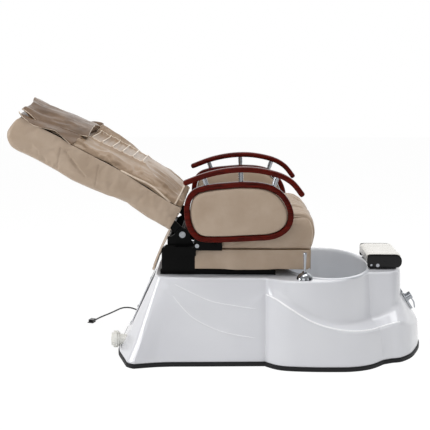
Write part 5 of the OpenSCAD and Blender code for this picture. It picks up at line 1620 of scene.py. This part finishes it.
# ---------------------------------------------------------------------------------------------
# Arms
# ---------------------------------------------------------------------------------------------
@dataclass
class Armrests:
    """Padded panels in wooden rings, with curved hand rails on posts."""

    y: float = 315
    depth: float = 40
    band: float = 25
    rail: float = 24
    start: float = -388
    run: float = 468
    low: float = 546
    tall: float = 263
    rail_gap: float = 51
    around: int = 168
    section: int = 32
    rail_steps: int = 110
    rail_section: int = 28
    ring_shape: tuple[Flat, ...] = (
        (0, 0.52), (0.02, 0.72), (0.09, 0.875), (0.225, 0.95), (0.4, 0.985), (0.54, 1),
        (0.7, 0.985), (0.82, 0.925), (0.915, 0.8), (0.98, 0.61), (1, 0.42), (0.97, 0.24),
        (0.89, 0.11), (0.78, 0.045), (0.65, 0.03), (0.46, 0.01), (0.29, 0), (0.165, 0.01),
        (0.08, 0.09), (0.02, 0.27))
    rail_shape: tuple[Flat, ...] = (
        (0.017, -57), (0.22, -22), (0.43, -3), (0.64, -2), (0.85, -22), (0.98, -55), (1.07, -105))

    def build(self) -> None:
        """Builds both arms."""
        line = closed_curve([(
            self.start + self.run * a, self.low + self.tall * b) for a, b in self.ring_shape], 8)
        line = evenly(line, self.around, closed=True)
        for side, name in SIDES:
            body = f"arm_{name}"
            self.ring(line, side, name, body)
            self.panel(line, side, name, body)
            self.handrail(side, name, body)
        log.info("armrests")

    def ring(self, line: np.ndarray, side: int, name: str, body: str) -> None:
        """Builds one bent ring with rounded edges."""
        normal = outward(line)
        middle = line + normal * self.band / 2
        turns = np.radians(np.linspace(0, 360, self.section + 1))
        c, s = np.cos(turns), np.sin(turns)
        off = self.band / 2 * np.sign(c) * np.abs(c) ** 0.5
        deep = self.depth / 2 * np.sign(s) * np.abs(s) ** 0.5

        def place(a: np.ndarray, b: np.ndarray) -> np.ndarray:
            i, j = whole(a * self.around) % self.around, whole(b * self.section)
            p = middle[i] + normal[i] * off[j][:, None]
            return np.stack([p[:, 0], side * self.y + deep[j], p[:, 1]], 1)

        ring = skin(f"wooden_ring_{name}", self.around, self.section, place)
        settle(ring, body, MAHOGANY, f"ring_{name}")

    def panel(self, line: np.ndarray, side: int, name: str, body: str) -> None:
        """Builds one stuffed panel."""
        edge = line + outward(line) * (self.band + 0.4)
        middle = edge.mean(0)
        shares = np.array([0, 0.12, 0.3, 0.48, 0.64, 0.77, 0.88, 0.94, 0.97, 0.99, 1.0])
        shares = np.r_[shares, shares[-2::-1]]
        faces = np.r_[np.ones(11), -np.ones(10)]
        rows = len(shares) - 1

        def place(a: np.ndarray, b: np.ndarray) -> np.ndarray:
            i, k = whole(a * self.around) % self.around, whole(b * rows)
            q = shares[k]
            p = middle + (edge[i] - middle) * q[:, None]
            out = (20.5 + 5.5 * (1 - q ** 2)) * np.sqrt(np.maximum(0, 1 - q ** 34))
            return np.stack([p[:, 0], side * self.y + faces[k] * out, p[:, 1]], 1)

        panel = skin(f"padded_panel_{name}", self.around, rows, place)
        modify(panel, "SUBSURF", levels=1, render_levels=1)
        press(panel, self.creases)
        settle(panel, body, TAUPE_VINYL, f"panel_{name}")

    def creases(self, points: np.ndarray) -> np.ndarray:
        """Depths of the panels' faint unevenness."""
        x, _, z = points.T
        return 0.5 * np.sin(x / 34 + z / 21) * np.sin(z / 40 - x / 57)

    def handrail(self, side: int, name: str, body: str) -> None:
        """Builds one curved hand rail with rounded ends."""
        base = self.low + self.tall + self.rail_gap
        points = [(self.start + self.run * a, base + b) for a, b in self.rail_shape]
        line = evenly(open_curve(points, 14), self.rail_steps)
        run = np.gradient(line, axis=0)
        run /= np.linalg.norm(run, axis=1)[:, None]
        cross = np.stack([-run[:, 1], run[:, 0]], 1)
        reach = self.rail / 2
        caps = np.sin(np.radians([0, 18, 36, 54, 72]))
        size = np.r_[
            np.sqrt(1 - (1 - caps) ** 2), np.ones(self.rail_steps),
            np.sqrt(1 - (1 - caps[::-1]) ** 2)]
        index = np.r_[np.zeros(5, int), np.arange(self.rail_steps), np.full(5, self.rail_steps - 1)]
        rows = len(index) - 1
        push = np.r_[-reach * (1 - caps), np.zeros(self.rail_steps), reach * (1 - caps[::-1])]
        turns = np.radians(np.linspace(0, 360, self.rail_section + 1))
        c, s = np.cos(turns), np.sin(turns)
        off = reach * np.sign(c) * np.abs(c) ** 0.55
        deep = self.depth / 2 * np.sign(s) * np.abs(s) ** 0.5

        def place(a: np.ndarray, b: np.ndarray) -> np.ndarray:
            j, k = whole(a * self.rail_section), whole(b * rows)
            i = index[k]
            p = line[i] + run[i] * push[k][:, None] + cross[i] * (off[j] * size[k])[:, None]
            return np.stack([p[:, 0], side * self.y + deep[j] * size[k], p[:, 1]], 1)

        rail = skin(f"hand_rail_{name}", self.rail_section, rows, place)
        settle(rail, body, MAHOGANY, f"handrail_{name}")


# ---------------------------------------------------------------------------------------------
# Footrest
# ---------------------------------------------------------------------------------------------
@dataclass
class Footrest:
    """Rounded black body between end caps, with a white cushion and a thin white panel."""

    x: float = 432
    base: float = 393
    run: float = 150
    half: float = 130
    tall: float = 62
    cushion: float = 16
    around: int = 120
    cheek_around: int = 140
    pad_around: int = 110
    pin_hole: float = 5.2
    screw_hole: float = 4.2

    def build(self) -> None:
        """Builds the body, the cushion, the panel and the end caps."""
        self.body()
        self.pad()
        self.face()
        self.cheeks()
        log.info("footrest")

    def face(self) -> None:
        """Covers the side that faces the seat with a thin padded panel."""
        low, high, wide = self.base + 24, self.base + self.tall - 4, self.half - 8
        corner = 12
        line = []
        for y, z, a in ((wide, high, 0), (-wide, high, 90), (-wide, low, 180), (wide, low, 270)):
            cy, cz = y - math.copysign(corner, y), z - corner if z == high else z + corner
            line += [
                (cy + corner * math.cos(math.radians(t)), cz + corner * math.sin(math.radians(t)))
                for t in np.linspace(a, a + 90, 9)]
        line = evenly(np.array(line), self.around, closed=True)
        middle = line.mean(0)
        steps = (
            (0.0, 0), (0.6, 0), (1.0, 0), (1.0, 1.2), (0.985, 2.2), (0.94, 2.7), (0.6, 3.0),
            (0.0, 3.1))
        rows = len(steps) - 1

        def place(a: np.ndarray, b: np.ndarray) -> np.ndarray:
            i, k = whole(a * self.around) % self.around, whole(b * rows)
            size, out = np.array(steps)[k].T
            p = middle + (line[i] - middle) * size[:, None]
            return np.stack([self.x - 3.6 - out, p[:, 0], p[:, 1]], 1)

        face = skin("footrest_face", self.around, rows, place)
        smooth_by_angle(face, 50)
        settle(face, "footrest", WHITE_VINYL)

    def cheeks(self) -> None:
        """Builds the rounded end caps, which hold the body and the cushion between them."""
        x, z, r, top = self.x, self.base, self.run, self.base + self.tall
        outline = evenly(
            closed_curve([
                (x + 2, z + 2), (x + 16, z + 0.4), (x + r / 2, z + 0.4), (x + r - 34, z + 0.4),
                (x + r - 12, z + 3), (x + r - 1.5, z + 15), (x + r + 1, z + 32),
                (x + r - 4, top - 14), (x + r - 18, top - 2.5), (x + r - 40, top - 0.5),
                (x + r / 2, top - 0.3), (x + 16, top - 0.5), (x + 2, top - 2.5), (x - 4, top - 9),
                (x - 4.4, z + 30), (x - 4, z + 9)], 8), self.cheek_around, closed=True)
        middle = (outline.min(0) + outline.max(0)) / 2
        reach = (outline.max(0) - outline.min(0)) / 2
        steps = (
            (0, 98), (0, 60), (0, 1.2), (0.3, 0.3), (1.0, 0), (4.0, 0), (5.2, 0.6), (6.1, 2.2),
            (6.6, 5.0), (6.8, 9.0), (6.9, 60), (6.9, 98))
        rows = len(steps) - 1
        for side, name in SIDES:
            def place(a: np.ndarray, b: np.ndarray, side: int = side) -> np.ndarray:
                i, k = whole(a * self.cheek_around) % self.cheek_around, whole(b * rows)
                out, drawn = np.array(steps)[k].T
                near = 1 - np.minimum(drawn, 20)[:, None] / reach
                share = np.where(drawn[:, None] > 50, 1 - drawn[:, None] / 100, near)
                p = middle + (outline[i] - middle) * share
                return np.stack([p[:, 0], side * (123.4 + out), p[:, 1]], 1)

            cheek = skin(f"footrest_cheek_{name}", self.cheek_around, rows, place)
            cut_away(cheek, plug((x + 42, side * 124, z + 12), (0, 1, 0), self.screw_hole, 30, 24))
            cut_away(cheek, plug((x + 14, side * 124, z + 12), (0, 1, 0), self.pin_hole, 40, 24))
            smooth_by_angle(cheek, 40)
            settle(cheek, "footrest", BLACK_ABS)

    def body(self) -> None:
        """Builds the moulded body with soft edges and clearances for its bracket."""
        top = self.base + self.tall - self.cushion
        x, z, r = self.x, self.base, self.run
        outline = closed_curve([
            (x + 8, z + 3), (x + 18, z), (x + r / 2, z), (x + r - 26, z), (x + r - 8, z + 6),
            (x + r, z + 20), (x + r + 1, top - 14), (x + r - 2, top - 3), (x + r - 12, top),
            (x + r / 2, top), (x + 8, top), (x - 3, top - 2), (x - 4, top - 10),
            (x - 3, z + 20)], 6)
        line = evenly(outline, self.around, closed=True)
        ys = np.r_[
            -130, -130, -130, -129.4, -127.6, -125, -121, np.linspace(-114, 114, 24), 121, 125,
            127.6, 129.4, 130, 130, 130]
        drawn = np.r_[0, 0, 8, 4.5, 2.2, 0.8, 0.2, np.zeros(24), 0.2, 0.8, 2.2, 4.5, 8, 0, 0]
        size = np.r_[0, 0.6, np.ones(34), 0.6, 0]
        middle = (line.min(0) + line.max(0)) / 2
        reach = (line.max(0) - line.min(0)) / 2
        rows = len(ys) - 1

        def place(a: np.ndarray, b: np.ndarray) -> np.ndarray:
            i, k = whole(a * self.around) % self.around, whole(b * rows)
            p = (line[i] - middle) * (1 - np.where(size[k] < 1, 8, drawn[k])[:, None] / reach)
            p = middle + p * size[k][:, None]
            return np.stack([p[:, 0], ys[k] * 0.948, p[:, 1]], 1)

        body = skin("footrest_body", self.around, rows, place)
        for side in (-1, 1):
            inner, outer = sorted((side * 89, side * 99))
            cut_away(body, box_cutter((x - 12, inner, 380), (x + 45, outer, z + 25)))
            cut_away(body, plug((x + 14, side * 94, z + 12), (0, 1, 0), (13, 13), 10.8, 40))
            cut_away(body, plug((x + 42, side * 124, z + 12), (0, 1, 0), self.screw_hole, 20, 24))
        cut_away(body, plug((x + 14, 0, z + 12), (0, 1, 0), self.pin_hole, 300, 24))
        smooth_by_angle(body, 40)
        settle(body, "footrest", BLACK_ABS, "footrest_shell")

    def pad(self) -> None:
        """Builds the white cushion, crowned and drawn in at its ends."""
        top, low = self.base + self.tall, self.base + self.tall - self.cushion
        x, r = self.x, self.run
        outline = closed_curve([
            (x + 4, low + 0.4), (x + r / 3, low + 0.4), (x + r * 2 / 3, low + 0.4),
            (x + r - 8, low + 0.4), (x + r - 3.5, low + 3), (x + r - 5, top - 6),
            (x + r - 14, top - 1.5), (x + r - 40, top), (x + r / 2, top + 0.3), (x + 24, top),
            (x + 5, top - 2), (x - 3, top - 7), (x - 3.5, low + 4), (x - 1, low + 0.8)], 6)
        line = evenly(outline, self.pad_around, closed=True)
        middle = np.array([x + r / 2, (top + low) / 2])
        ys = np.r_[
            -129, -129, -128.6, -127.2, -124.6, -120.5, np.linspace(-114, 114, 26), 120.5, 124.6,
            127.2, 128.6, 129, 129]
        size = np.r_[0, 0.62, 0.8, 0.9, 0.96, 0.99, np.ones(26), 0.99, 0.96, 0.9, 0.8, 0.62, 0]
        rows = len(ys) - 1

        def place(a: np.ndarray, b: np.ndarray) -> np.ndarray:
            i, k = whole(a * self.pad_around) % self.pad_around, whole(b * rows)
            p = middle + (line[i] - middle) * np.stack([0.2 + 0.8 * size[k], size[k]], 1)
            return np.stack([p[:, 0], ys[k] * 0.953, np.maximum(p[:, 1], low + 0.4)], 1)

        pad = skin("footrest_pad", self.pad_around, rows, place)
        modify(pad, "SUBSURF", levels=1, render_levels=1)
        settle(pad, "footrest", WHITE_VINYL, "footrest_cushion")


def main() -> None:
    """Builds the chair piece by piece."""
    logging.basicConfig(level=logging.INFO, format="%(name)s: %(message)s")
    bpy.context.scene.view_settings.view_transform = "Standard"
    Studio().build()
    MainsLead().build()
    MouldedBase().build()
    Fittings().build()
    Seat().build()
    Armrests().build()
    RecliningBack().build()
    Footrest().build()


if __name__ == "__main__":
    main()
